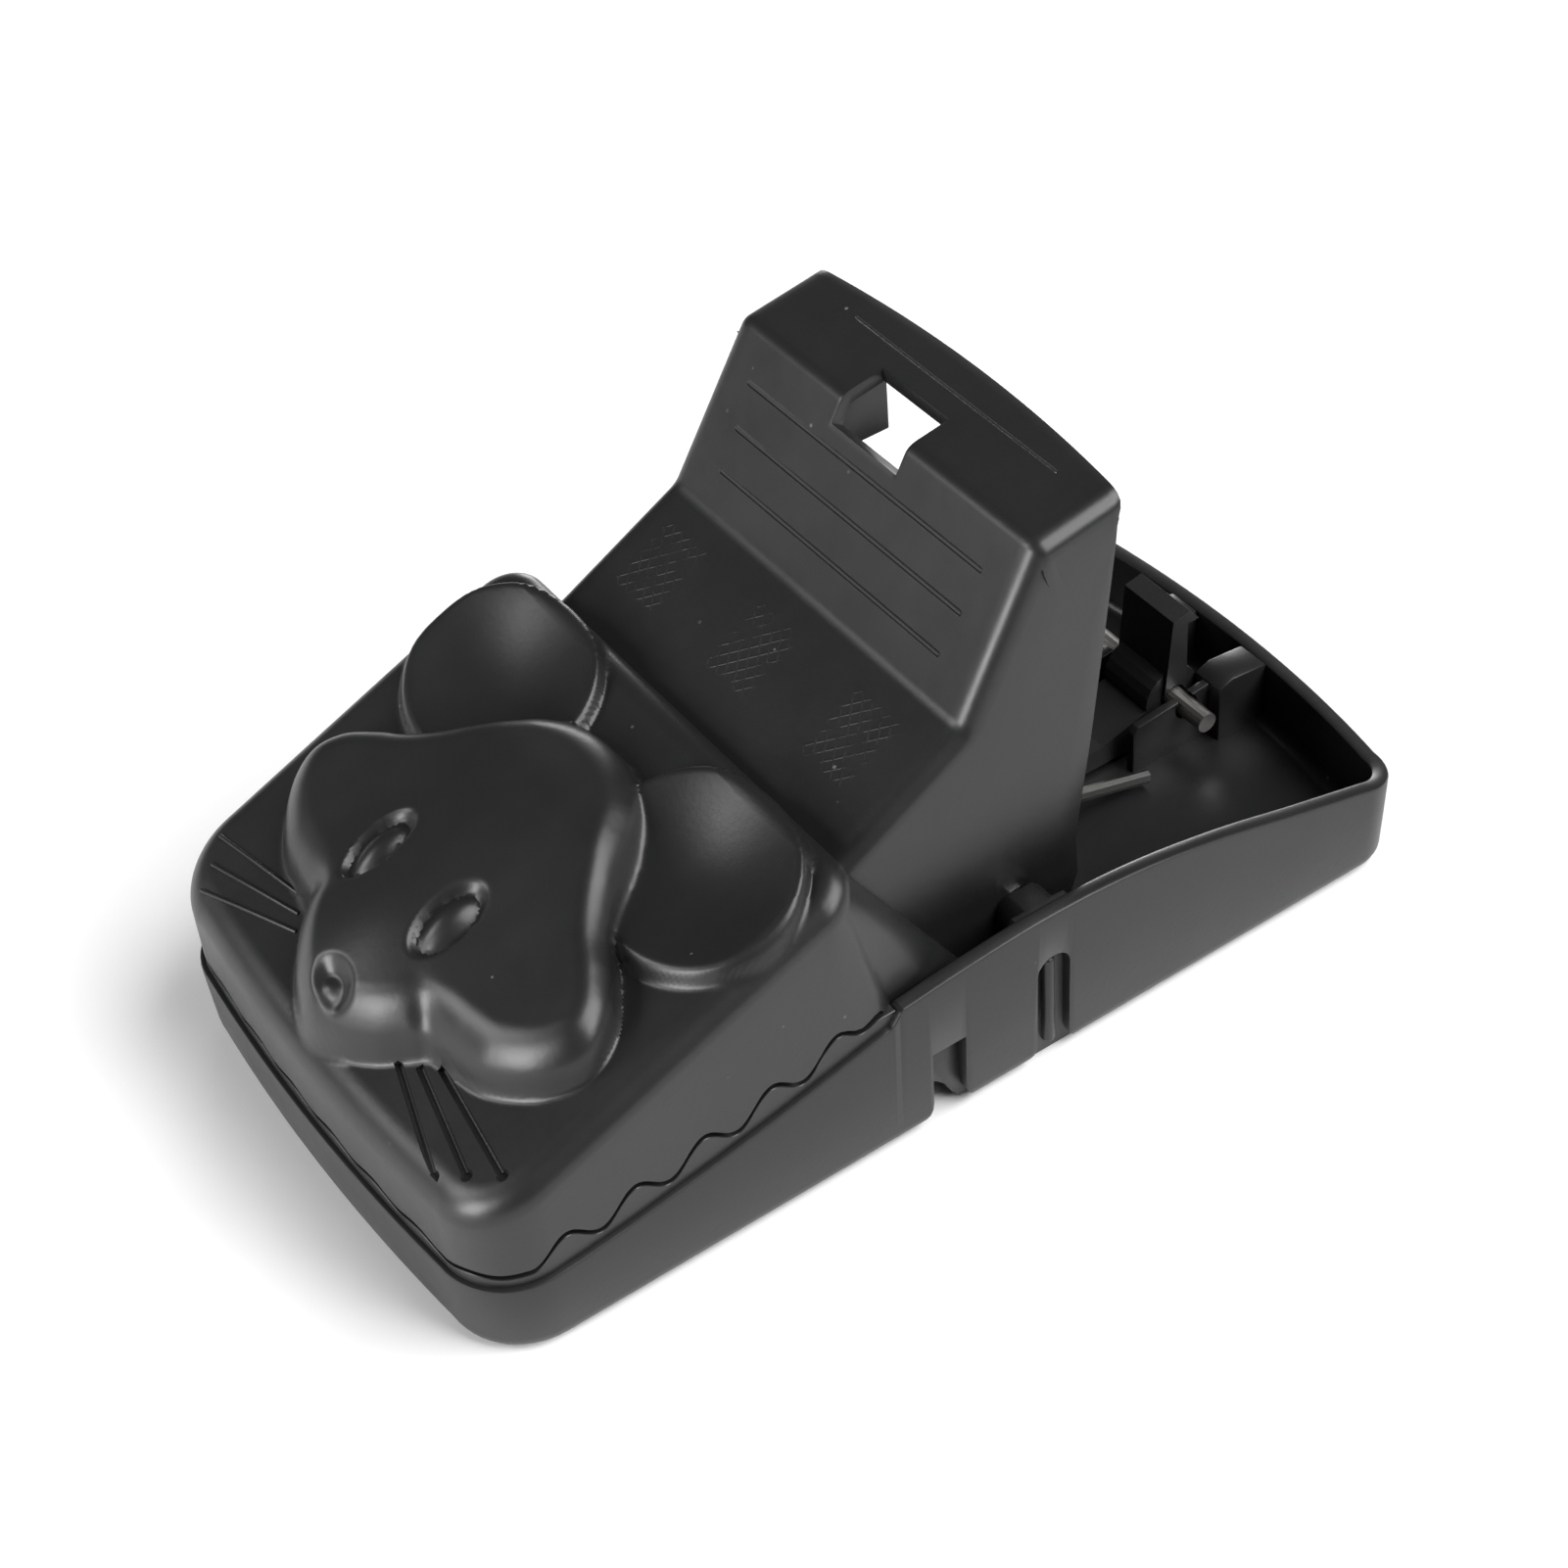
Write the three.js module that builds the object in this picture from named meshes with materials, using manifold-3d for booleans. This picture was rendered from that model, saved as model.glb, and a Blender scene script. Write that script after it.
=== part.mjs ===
// Snap mouse trap: a black plastic tray and a sprung upper jaw with a push handle.
// Millimetres, +Z up. The nose of the trap points to -Y, the handle end to +Y.
// The origin lies under the middle of the tray, on the surface that the trap stands on.
import * as THREE from "three";
import { mergeVertices } from "three/addons/utils/BufferGeometryUtils.js";
import { ConvexGeometry } from "three/addons/geometries/ConvexGeometry.js";
import Module from "manifold-3d";

const wasm = await Module();
wasm.setup();

// Driving dimensions
const LENGTH = 98;
const WIDTH = 52.6;
const FIT_GAP = 0.3;
const TRAY = {
  wall: 1.5, floor: 2.2, top: 20, frontCorner: 6.9, rearCorner: 4.5, frontBulge: 0.9, rearBulge: 2.4,
};
const RIM = [[-50, 7.9], [-44, 8.25], [-35, 9.3], [-22, 11.6], [-9.4, 14.6]];
const HUMP = [[-7.9, 16.1], [-1, 16.8], [7, 17.2], [16, 16.6], [25, 14.9], [34, 12.4], [43, 10], [52, 7.6]];
const LIP = {
  inset: 0.5, pitch: 6.45, wave: 1, rise: 1.9, first: -43.2, last: -9.6, frontZ: 8.6, frontWave: 0.5,
};
const NOTCH = { y: -3.6, width: 3.4, top: 8.7, flareWidth: 5.4, flareTop: 3 };
const NOTCH_BACK = { inner: 23.6, outer: 25, front: -6, rear: -1.2, top: 9.9, frontFoot: 3.5, rearFoot: 0.3 };
const SLOT = { y: 7.2, width: 3.4, top: 12.4, footWidth: 5, footTop: 3.6 };
const UNDERCUT = 7;
const PIVOT = { y: 7.2, z: 14.5 };
const AXLE = { radius: 1.5, half: 25.3 };
const BOSS = { radius: 3.4, inner: 21.65, top: 16.6 };
const LID = { slope: 0.417, heightAtNose: 16.1, nose: -48.5, rear: -11, skirtEnd: -14, rearFoot: -9.9 };
const SADDLE = { slope: 0.56, y: -10, z: 28.35 };
const HANDLE = {
  half: 21.3, foldY: 2.9, creaseY: 10.9, creaseZ: 49.4, rearY: 18.8, rearZ: 50.7, rearBulge: 1.5, corner: 2,
};
const SHELL = 1.5;
const LOBE = 6.4;
const WINDOW = { x: -0.9, half: 4.4, onTop: 4.2, onFront: 2.3 };
const GUIDE = { thick: 1.2, front: 7, rear: 15.4, bottom: 43.8, top: 48.9 };
const EAR = { x: 13.6, y: -19.1, radius: 10.9, squash: 0.78, height: 3.1, dish: 2.2 };
const PEDAL_PIN = { y: 39.2, z: 6.9, radius: 1, half: 8 };
const CHEEK = { inner: 4.2, outer: 5.1, front: 33, rear: 42, top: 8.2, slopeTop: 7.4 };
const BRACKET = { inner: 3.1, outer: 6.6, front: 42, top: 8.1 };
const PEDAL = { under: 2.8, thick: 1.4, armHalf: 3, front: -35, back: -10, half: 12.5, hole: 8.9 };
const HOOK = { front: 38.9, rear: 40.6, tip: 41.9, noseBottom: 14.9, top: 16.3, half: 3.4 };
const CUP = { y: -22, radius: 7.4, flange: 9.2, top: 6.6, wall: 1.1, bottom: 0.3, flangeTop: 1 };
const LUG = { reach: 8.6, half: 2, bottom: 2.5, top: 3.3 };
const SPRING = {
  wire: 0.65, coil: 4.1, turns: 6, pitch: 1.65, inner: 7, legY: 33, legZ: 3.2, armY: 8.3, armZ: 40,
};

// Solids from three.js geometry
function solid(geometry) {
  const bare = geometry.index ? geometry.toNonIndexed() : geometry.clone();
  bare.deleteAttribute("normal");
  bare.deleteAttribute("uv");
  const merged = mergeVertices(bare, 1e-4);
  const vertProperties = new Float32Array(merged.attributes.position.array);
  const triVerts = new Uint32Array(merged.index.array);
  return new wasm.Manifold(new wasm.Mesh({ numProp: 3, vertProperties, triVerts }));
}

function toGeometry(body) {
  const mesh = body.getMesh();
  const geometry = new THREE.BufferGeometry();
  geometry.setAttribute("position", new THREE.BufferAttribute(new Float32Array(mesh.vertProperties), 3));
  geometry.setIndex(new THREE.BufferAttribute(new Uint32Array(mesh.triVerts), 1));
  const flat = geometry.toNonIndexed();
  flat.computeVertexNormals();
  return flat;
}

function outline(points) {
  return new THREE.Shape(points.map(([a, b]) => new THREE.Vector2(a, b)));
}

// A plan shape pulled up from z0 to z1
function upward(shape, z0, z1, curveSegments = 6) {
  const geometry = new THREE.ExtrudeGeometry(shape, { depth: z1 - z0, bevelEnabled: false, curveSegments });
  return solid(geometry.translate(0, 0, z0));
}

// A (Y, Z) profile pulled across the trap from x0 to x1
function across(shape, x0, x1, curveSegments = 6) {
  const geometry = new THREE.ExtrudeGeometry(shape, { depth: x1 - x0, bevelEnabled: false, curveSegments });
  const turn = new THREE.Matrix4().makeBasis(
    new THREE.Vector3(0, 1, 0), new THREE.Vector3(0, 0, 1), new THREE.Vector3(1, 0, 0));
  return solid(geometry.applyMatrix4(turn).translate(x0, 0, 0));
}

// An (X, Z) profile pulled along the trap from y0 to y1
function lengthwise(shape, y0, y1) {
  const geometry = new THREE.ExtrudeGeometry(shape, { depth: y1 - y0, bevelEnabled: false });
  return solid(geometry.rotateX(Math.PI / 2).translate(0, y1, 0));
}

function block(x0, x1, y0, y1, z0, z1) {
  const geometry = new THREE.BoxGeometry(x1 - x0, y1 - y0, z1 - z0);
  return solid(geometry.translate((x0 + x1) / 2, (y0 + y1) / 2, (z0 + z1) / 2));
}

// A round bar along X
function rod(radius, x0, x1, y, z, sides = 20) {
  const geometry = new THREE.CylinderGeometry(radius, radius, x1 - x0, sides);
  return solid(geometry.rotateZ(Math.PI / 2).translate((x0 + x1) / 2, y, z));
}

// A round bar along Z
function post(radius, z0, z1, x, y, sides = 32) {
  const geometry = new THREE.CylinderGeometry(radius, radius, z1 - z0, sides);
  return solid(geometry.rotateX(Math.PI / 2).translate(x, y, (z0 + z1) / 2));
}

// The plan of the tray, drawn inset millimetres inside its outer face
function planShape(inset) {
  const half = WIDTH / 2 - inset;
  const front = -LENGTH / 2 + inset + TRAY.frontBulge;
  const rear = LENGTH / 2 - inset - TRAY.rearBulge;
  const frontR = TRAY.frontCorner - inset;
  const rearR = TRAY.rearCorner - inset;
  const shape = new THREE.Shape();
  shape.moveTo(-half + frontR, front);
  shape.quadraticCurveTo(0, front - 2 * TRAY.frontBulge, half - frontR, front);
  shape.absarc(half - frontR, front + frontR, frontR, -Math.PI / 2, 0, false);
  shape.absarc(half - rearR, rear - rearR, rearR, 0, Math.PI / 2, false);
  shape.quadraticCurveTo(0, rear + 2 * TRAY.rearBulge, -half + rearR, rear);
  shape.absarc(-half + rearR, rear - rearR, rearR, Math.PI / 2, Math.PI, false);
  shape.absarc(-half + frontR, front + frontR, frontR, Math.PI, 1.5 * Math.PI, false);
  return shape;
}

// Points of a smooth curve through the given (Y, Z) stations
function smooth(stations, count) {
  const curve = new THREE.SplineCurve(stations.map(([a, b]) => new THREE.Vector2(a, b)));
  return curve.getPoints(count).map((point) => [point.x, point.y]);
}

function rimHeight(y) {
  const points = smooth(RIM, 40);
  const next = points.findIndex((point) => point[0] >= y);
  const [y0, z0] = points[next - 1];
  const [y1, z1] = points[next];
  return z0 + ((z1 - z0) * (y - y0)) / (y1 - y0);
}

// Everything below the seam between tray and jaw, raised by lift
function belowSeam(lift) {
  const steps = 6 * 6;
  const side = [[LIP.first, 0]];
  for (let i = 0; i <= steps; i += 1) {
    const y = LIP.first + ((LIP.last - LIP.first) * i) / steps;
    const wave = -LIP.wave * Math.cos((2 * Math.PI * (y - LIP.first)) / LIP.pitch);
    side.push([y, rimHeight(y) + LIP.rise + wave + lift]);
  }
  side.push([LIP.last, 0]);
  const front = [[-WIDTH / 2, 0], [-WIDTH / 2, LIP.frontZ + lift]];
  const waves = 6;
  for (let i = 0; i <= waves * 5; i += 1) {
    const x = LIP.pitch * (i / 5 - waves / 2);
    const wave = LIP.frontWave * (1 - Math.cos((2 * Math.PI * i) / 5));
    front.push([x, LIP.frontZ + lift + wave / 2]);
  }
  front.push([WIDTH / 2, LIP.frontZ + lift], [WIDTH / 2, 0]);
  const sides = across(outline(side), -WIDTH, WIDTH);
  return sides.add(lengthwise(outline(front), -LENGTH, LIP.first));
}

function trayShell() {
  const profile = [[-60, -1], ...smooth(RIM, 14), ...smooth(HUMP, 22), [60, -1]];
  const body = upward(planShape(0), 0, TRAY.top).intersect(across(outline(profile), -WIDTH, WIDTH));
  const ring = upward(planShape(LIP.inset), 5, TRAY.top).intersect(belowSeam(0));
  return body.add(ring).subtract(upward(planShape(TRAY.wall), TRAY.floor, TRAY.top + 1));
}

// The notch and the round-topped slot that come up from the underside on one side
function sideCut(cut, roundTop, side) {
  const half = cut.width / 2;
  const foot = (cut.flareWidth ?? cut.footWidth) / 2;
  const footTop = cut.flareTop ?? cut.footTop;
  const shape = new THREE.Shape();
  shape.moveTo(cut.y - foot, -1);
  shape.lineTo(cut.y + foot, -1);
  shape.lineTo(cut.y + foot, footTop - 1);
  shape.lineTo(cut.y + half, footTop);
  if (roundTop) {
    shape.absarc(cut.y, cut.top - half, half, 0, Math.PI, false);
  } else {
    shape.lineTo(cut.y + half, cut.top);
    shape.lineTo(cut.y - half, cut.top);
  }
  shape.lineTo(cut.y - half, footTop);
  shape.lineTo(cut.y - foot, footTop - 1);
  const edge = WIDTH / 2 + 1;
  const depth = roundTop ? TRAY.wall - FIT_GAP : UNDERCUT;
  const outer = side > 0 ? [edge - 1 - depth, edge] : [-edge, -edge + 1 + depth];
  return across(shape, outer[0], outer[1], 4);
}

// The thin plate that closes the notch from inside, with a foot that slopes down towards the rear
function notchBack(side) {
  const { inner, outer, front, rear, top, frontFoot, rearFoot } = NOTCH_BACK;
  const profile = outline([
    [front, frontFoot], [NOTCH.y - 0.6, frontFoot - 0.4], [rear - 0.8, rearFoot], [rear, rearFoot],
    [rear, top], [front, top],
  ]);
  return side > 0 ? across(profile, inner, outer) : across(profile, -outer, -inner);
}

function axleBoss(side) {
  const x0 = side > 0 ? BOSS.inner : -WIDTH / 2 + 1;
  const x1 = side > 0 ? WIDTH / 2 - 1 : -BOSS.inner;
  const under = block(x0, x1, PIVOT.y - BOSS.radius, PIVOT.y + BOSS.radius, 0, BOSS.top);
  return rod(BOSS.radius, x0, x1, PIVOT.y, PIVOT.z).intersect(under);
}

function pinCheek(side) {
  const profile = outline([
    [CHEEK.front, 1], [CHEEK.rear, 1], [CHEEK.rear, CHEEK.top], [CHEEK.front, CHEEK.slopeTop],
  ]);
  const cheek = side > 0
    ? across(profile, CHEEK.inner, CHEEK.outer)
    : across(profile, -CHEEK.outer, -CHEEK.inner);
  const x0 = side > 0 ? BRACKET.inner : -BRACKET.outer;
  const x1 = side > 0 ? BRACKET.outer : -BRACKET.inner;
  return cheek.add(block(x0, x1, BRACKET.front - 0.2, LENGTH / 2 - 1, 1, BRACKET.top));
}

function baseTray() {
  let tray = trayShell();
  for (const side of [1, -1]) {
    tray = tray.add(axleBoss(side)).add(pinCheek(side));
    tray = tray.subtract(sideCut(NOTCH, false, side)).subtract(sideCut(SLOT, true, side));
    tray = tray.add(notchBack(side));
  }
  const axleHole = rod(AXLE.radius + FIT_GAP, -AXLE.half - FIT_GAP, AXLE.half + FIT_GAP, PIVOT.y, PIVOT.z);
  const pinHole = rod(PEDAL_PIN.radius + FIT_GAP, -10, 10, PEDAL_PIN.y, PEDAL_PIN.z, 16);
  const cupHole = post(CUP.radius + FIT_GAP, -1, TRAY.floor + 1, 0, CUP.y);
  const cupSeat = post(CUP.flange + FIT_GAP, -1, CUP.flangeTop + FIT_GAP, 0, CUP.y);
  const lugWay = block(-LUG.half - FIT_GAP, LUG.half + FIT_GAP, CUP.y - LUG.reach - FIT_GAP,
    CUP.y + LUG.reach + FIT_GAP, -1, TRAY.floor + 1);
  return tray.subtract(axleHole).subtract(pinHole).subtract(cupHole).subtract(cupSeat).subtract(lugWay);
}

function lidZ(y) {
  return LID.heightAtNose + LID.slope * (y - LID.nose);
}

function saddleZ(y) {
  return SADDLE.z + SADDLE.slope * (y - SADDLE.y);
}

function topZ(y) {
  const slope = (HANDLE.rearZ - HANDLE.creaseZ) / (HANDLE.rearY - HANDLE.creaseY);
  return HANDLE.creaseZ + slope * (y - HANDLE.creaseY);
}

// The outer side profile of the saddle, the handle and the pivot lobe
function handleProfile() {
  const lobe = [];
  for (let i = 0; i <= 8; i += 1) {
    const angle = THREE.MathUtils.degToRad(10 - i * 20);
    lobe.push([PIVOT.y + LOBE * Math.cos(angle), PIVOT.z + LOBE * Math.sin(angle)]);
  }
  return [
    [-14, saddleZ(-14)], [-14, 14.9], [-9.9, 14.9], [-6, 11.5], ...lobe.reverse(),
    [HANDLE.rearY + HANDLE.rearBulge, topZ(HANDLE.rearY + HANDLE.rearBulge)],
    [HANDLE.creaseY, HANDLE.creaseZ], [HANDLE.foldY, saddleZ(HANDLE.foldY)],
  ];
}

// The plan of the handle, with its rear edge bowed outwards
function handlePlan() {
  const { half, corner, rearY, rearBulge } = HANDLE;
  const shape = new THREE.Shape();
  shape.moveTo(-half, -20);
  shape.lineTo(half, -20);
  shape.absarc(half - corner, rearY - corner, corner, 0, Math.PI / 2, false);
  shape.quadraticCurveTo(0, rearY + 2 * rearBulge, -half + corner, rearY);
  shape.absarc(-half + corner, rearY - corner, corner, Math.PI / 2, Math.PI, false);
  return shape;
}

// Where two straight walls meet after each has been moved inwards by the shell thickness
function innerCorner([y0, z0], [y1, z1], [y2, z2]) {
  const first = new THREE.Vector2(y1 - y0, z1 - z0).normalize();
  const second = new THREE.Vector2(y2 - y1, z2 - z1).normalize();
  const a = new THREE.Vector2(y1 + first.y * SHELL, z1 - first.x * SHELL);
  const b = new THREE.Vector2(y1 + second.y * SHELL, z1 - second.x * SHELL);
  const t = b.clone().sub(a).cross(second) / first.cross(second);
  return [a.x + first.x * t, a.y + first.y * t];
}

function handleHollow() {
  const start = [-14, saddleZ(-14)];
  const fold = [HANDLE.foldY, saddleZ(HANDLE.foldY)];
  const crease = [HANDLE.creaseY, HANDLE.creaseZ];
  const rear = [HANDLE.rearY, HANDLE.rearZ];
  const foldIn = innerCorner(start, fold, crease);
  const creaseIn = innerCorner(fold, crease, rear);
  const profile = [
    [-12.6, 0], [40, 0], [40, creaseIn[1] + topZ(40) - topZ(creaseIn[0])], creaseIn, foldIn,
    [-12.6, saddleZ(-12.6) - SHELL * 1.15],
  ];
  return across(outline(profile), -HANDLE.half + SHELL, HANDLE.half - SHELL);
}

function lidBody() {
  const skirt = outline([
    [-60, 5], [LID.skirtEnd, 5], [LID.skirtEnd, lidZ(LID.skirtEnd)], [-60, lidZ(-60)],
  ]);
  const back = outline([
    [LID.skirtEnd - 1, 20], [LID.rearFoot, 20], [LID.rear, lidZ(LID.rear)],
    [LID.skirtEnd - 1, lidZ(LID.skirtEnd - 1)],
  ]);
  const front = upward(planShape(LIP.inset), 5, 45).intersect(across(skirt, -WIDTH, WIDTH));
  return front.add(across(back, -HANDLE.half, HANDLE.half));
}

function lidHollow() {
  const drop = SHELL * 1.1;
  const profile = outline([
    [-60, 0], [LID.skirtEnd + 1, 0], [LID.skirtEnd + 1, saddleZ(LID.skirtEnd) - drop],
    [LID.rear - SHELL, lidZ(LID.rear - SHELL) - drop], [-60, lidZ(-60) - drop],
  ]);
  return upward(planShape(LIP.inset + SHELL), 0, 45).intersect(across(profile, -WIDTH, WIDTH));
}

// The rounded shoulder that joins the wide skirt to the narrower handle on one side
function shoulder(side, inset) {
  const wide = WIDTH / 2 - LIP.inset - inset;
  const slim = HANDLE.half - 0.5 - inset;
  const low = inset > 0 ? 0 : 15.2;
  const start = LID.skirtEnd - 0.5;
  const peak = (y) => lidZ(y) - inset;
  const points = [
    [wide, start, low], [slim, start, low], [wide, start, peak(start)], [slim, start, peak(start)],
    [wide, -10.5 - inset, low], [wide - 2, -8.6 - inset, low], [slim, -5 - inset, low],
    [wide - 0.8, -12.6 - inset, peak(-13.2)], [wide - 2.6, -11.4 - inset, peak(-12)],
    [slim, -11 - inset, peak(-11)],
  ];
  return solid(new ConvexGeometry(points.map(([x, y, z]) => new THREE.Vector3(x * side, y, z))));
}

// Places a solid that was built on a level plane onto the sloping lid, at plan position (x, y)
function onLid(geometry, x, y) {
  const tilt = Math.atan(LID.slope);
  return solid(geometry.rotateX(tilt).translate(x, y, lidZ(y)));
}

function ear(side) {
  const { radius, height, dish } = EAR;
  const profile = [
    [0, -1.2], [radius, -1.2], [radius, height - 1], [radius - 0.6, height - 0.2], [radius - 1.5, height],
    [radius - 2.6, height - 0.4], [radius * 0.5, height - dish * 0.85], [0, height - dish],
  ];
  const points = profile.map(([r, z]) => new THREE.Vector2(r, z));
  const bowl = new THREE.LatheGeometry(points, 28).rotateX(Math.PI / 2).scale(1, EAR.squash, 1);
  return onLid(bowl, EAR.x * side, EAR.y);
}

function mound(x, y, rx, ry, rz) {
  return onLid(new THREE.SphereGeometry(1, 22, 12).rotateX(Math.PI / 2).scale(rx, ry, rz), x, y);
}

// The mouse face in relief: crown, two cheeks, a snout and two dished ears
function mouseFace() {
  const parts = [
    mound(0, -28, 14, 12, 4.6), mound(13, -33.5, 9, 7.6, 4.4), mound(-13, -33.5, 9, 7.6, 4.4),
    mound(0, -38.8, 9.5, 8.6, 5.6), ear(1), ear(-1),
  ];
  const drop = SHELL * 0.9;
  const below = outline([[-60, 0], [10, 0], [10, lidZ(10) - drop], [-60, lidZ(-60) - drop]]);
  return parts.reduce((whole, part) => whole.add(part)).subtract(across(below, -WIDTH, WIDTH));
}

function handleWindow() {
  const top = new THREE.Vector2(HANDLE.rearY - HANDLE.creaseY, HANDLE.rearZ - HANDLE.creaseZ).normalize();
  const foldZ = saddleZ(HANDLE.foldY);
  const face = new THREE.Vector2(HANDLE.foldY - HANDLE.creaseY, foldZ - HANDLE.creaseZ).normalize();
  const at = (edge, along, lift) => [
    HANDLE.creaseY + edge.x * along, HANDLE.creaseZ + edge.y * along + lift,
  ];
  const [rearY, rearZ] = at(top, WINDOW.onTop, 3);
  const [frontY, frontZ] = at(face, WINDOW.onFront, 0);
  const profile = outline([
    [rearY, rearZ - 8], [rearY, rearZ], [frontY - 3, rearZ], [frontY - 3, frontZ + 1.2],
    [frontY, frontZ], [frontY + 3, frontZ - 1.8],
  ]);
  return across(profile, WINDOW.x - WINDOW.half, WINDOW.x + WINDOW.half);
}

// The wall that hangs down beside the window and guides the hook
function windowGuide() {
  const outer = WINDOW.x - WINDOW.half;
  return block(outer - GUIDE.thick, outer, GUIDE.front, GUIDE.rear, GUIDE.bottom, GUIDE.top);
}

function upperJaw() {
  const handle = across(outline(handleProfile()), -HANDLE.half, HANDLE.half);
  const trimmed = handle.intersect(upward(handlePlan(), 0, 60));
  const outer = lidBody().add(trimmed).add(shoulder(1, 0)).add(shoulder(-1, 0));
  const hollow = lidHollow().add(handleHollow()).add(shoulder(1, SHELL)).add(shoulder(-1, SHELL));
  const shell = outer.subtract(hollow).subtract(belowSeam(FIT_GAP));
  const bore = rod(AXLE.radius + FIT_GAP, -WIDTH, WIDTH, PIVOT.y, PIVOT.z);
  const guide = windowGuide().intersect(trimmed);
  return shell.subtract(bore).add(guide).subtract(handleWindow()).add(mouseFace());
}

function jawAxle() {
  return rod(AXLE.radius, -AXLE.half, AXLE.half, PIVOT.y, PIVOT.z, 18);
}

// The path of a torsion spring round the axle: one leg lies on the tray floor and runs to the rear,
// and the other stands up inside the handle and presses on the back of its front wall
function springPath(side) {
  const { coil, turns, pitch, inner, legY, legZ, armY, armZ } = SPRING;
  const path = new THREE.CurvePath();
  const at = (x, y, z) => new THREE.Vector3(x * side, y, z);
  const stations = [at(inner, PIVOT.y + 3.5, PIVOT.z - coil - 0.6)];
  const steps = turns * 12 + 3;
  for (let i = 0; i <= steps; i += 1) {
    const angle = THREE.MathUtils.degToRad(-90 - 30 * i);
    const x = inner + (pitch * i) / 12;
    stations.push(at(x, PIVOT.y + coil * Math.cos(angle), PIVOT.z + coil * Math.sin(angle)));
  }
  const outer = inner + (pitch * steps) / 12;
  stations.push(at(outer, PIVOT.y - coil + 0.4, PIVOT.z + 3.5));
  path.add(new THREE.LineCurve3(at(inner, legY, legZ), stations[0]));
  path.add(new THREE.CatmullRomCurve3(stations, false, "centripetal"));
  path.add(new THREE.LineCurve3(stations[stations.length - 1], at(outer, armY, armZ)));
  return path;
}

function torsionSpring(side) {
  const section = new THREE.Shape();
  section.absarc(0, 0, SPRING.wire, 0, 2 * Math.PI, false);
  const settings = { steps: SPRING.turns * 22, extrudePath: springPath(side), curveSegments: 4 };
  return solid(new THREE.ExtrudeGeometry(section, settings));
}

function triggerPedal() {
  const low = PEDAL.under;
  const high = PEDAL.under + PEDAL.thick;
  let pedal = block(-PEDAL.half, PEDAL.half, PEDAL.front, PEDAL.back, low, high);
  pedal = pedal.subtract(post(PEDAL.hole, low - 1, high + 1, 0, CUP.y));
  const arm = outline([
    [PEDAL.back - 1, low], [PEDAL_PIN.y, low], [PEDAL_PIN.y, high + 3], [PEDAL_PIN.y - 8, high + 0.8],
    [PEDAL.back - 1, high],
  ]);
  const hub = rod(3, -PEDAL.armHalf, PEDAL.armHalf, PEDAL_PIN.y, PEDAL_PIN.z, 20);
  const hook = outline([
    [HOOK.front - 0.9, PEDAL_PIN.z], [HOOK.rear, PEDAL_PIN.z], [HOOK.rear, HOOK.noseBottom],
    [HOOK.tip, HOOK.noseBottom], [HOOK.rear + 0.2, HOOK.top], [HOOK.front, HOOK.top - 0.4],
  ]);
  const bore = rod(PEDAL_PIN.radius + FIT_GAP, -10, 10, PEDAL_PIN.y, PEDAL_PIN.z, 16);
  return pedal
    .add(across(arm, -PEDAL.armHalf, PEDAL.armHalf))
    .add(hub)
    .add(across(hook, -HOOK.half, HOOK.half))
    .subtract(bore);
}

function triggerPin() {
  return rod(PEDAL_PIN.radius, -PEDAL_PIN.half, PEDAL_PIN.half, PEDAL_PIN.y, PEDAL_PIN.z, 16);
}

// The bait cup pushes in from below and turns to lock; two grooves in its foot are the finger grip
function baitCup() {
  const { radius, flange, top, wall, bottom, flangeTop } = CUP;
  const profile = [
    [0, bottom], [flange, bottom], [flange, flangeTop], [radius, flangeTop], [radius, top],
    [radius - wall, top], [radius - wall, bottom + wall], [0, bottom + wall],
  ];
  const points = profile.map(([r, z]) => new THREE.Vector2(r, z));
  const body = solid(new THREE.LatheGeometry(points, 32).rotateX(Math.PI / 2));
  const groove = block(-6, -1, -0.9, 0.9, 0, bottom + 0.5);
  const otherGroove = block(1, 6, -0.9, 0.9, 0, bottom + 0.5);
  const lugs = block(-LUG.reach, LUG.reach, -LUG.half, LUG.half, LUG.bottom, LUG.top);
  const core = post(radius - wall / 2, 0, top, 0, 0);
  return body.add(lugs.subtract(core)).subtract(groove).subtract(otherGroove);
}

const BLACK_PLASTIC = { color: 0x17181a, roughness: 0.42, metalness: 0 };
const PEDAL_PLASTIC = { color: 0x1c1d1f, roughness: 0.5, metalness: 0 };
const STEEL = { color: 0xb9b8b2, roughness: 0.3, metalness: 1 };

const trap = new THREE.Group();

function piece(name, body, finish, parent = trap) {
  const mesh = new THREE.Mesh(toGeometry(body), new THREE.MeshStandardMaterial(finish));
  mesh.name = name;
  parent.add(mesh);
  return mesh;
}

piece("base_tray", baseTray(), BLACK_PLASTIC);
piece("upper_jaw", upperJaw(), BLACK_PLASTIC);
piece("jaw_axle", jawAxle(), STEEL);
piece("right_jaw_spring", torsionSpring(1), STEEL);
piece("left_jaw_spring", torsionSpring(-1), STEEL);
piece("trigger_pedal", triggerPedal(), PEDAL_PLASTIC);
piece("trigger_pin", triggerPin(), STEEL);
piece("bait_cup", baitCup(), PEDAL_PLASTIC).position.set(0, CUP.y, 0);

export default trap;
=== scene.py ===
"""A snap mouse trap: black moulded tray, sprung upper jaw with a mouse relief, steel pins.

Sizes are millimetres in the classes and metres in Blender. +Z is up, the nose points to -Y.
"""

import logging
import math
import operator
from contextlib import contextmanager
from dataclasses import dataclass, field
from enum import Enum
from functools import cached_property, reduce
from typing import Any, Callable, Iterator, Sequence

import bmesh
import bpy
from mathutils import Matrix, Vector
from mathutils.kdtree import KDTree


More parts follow.
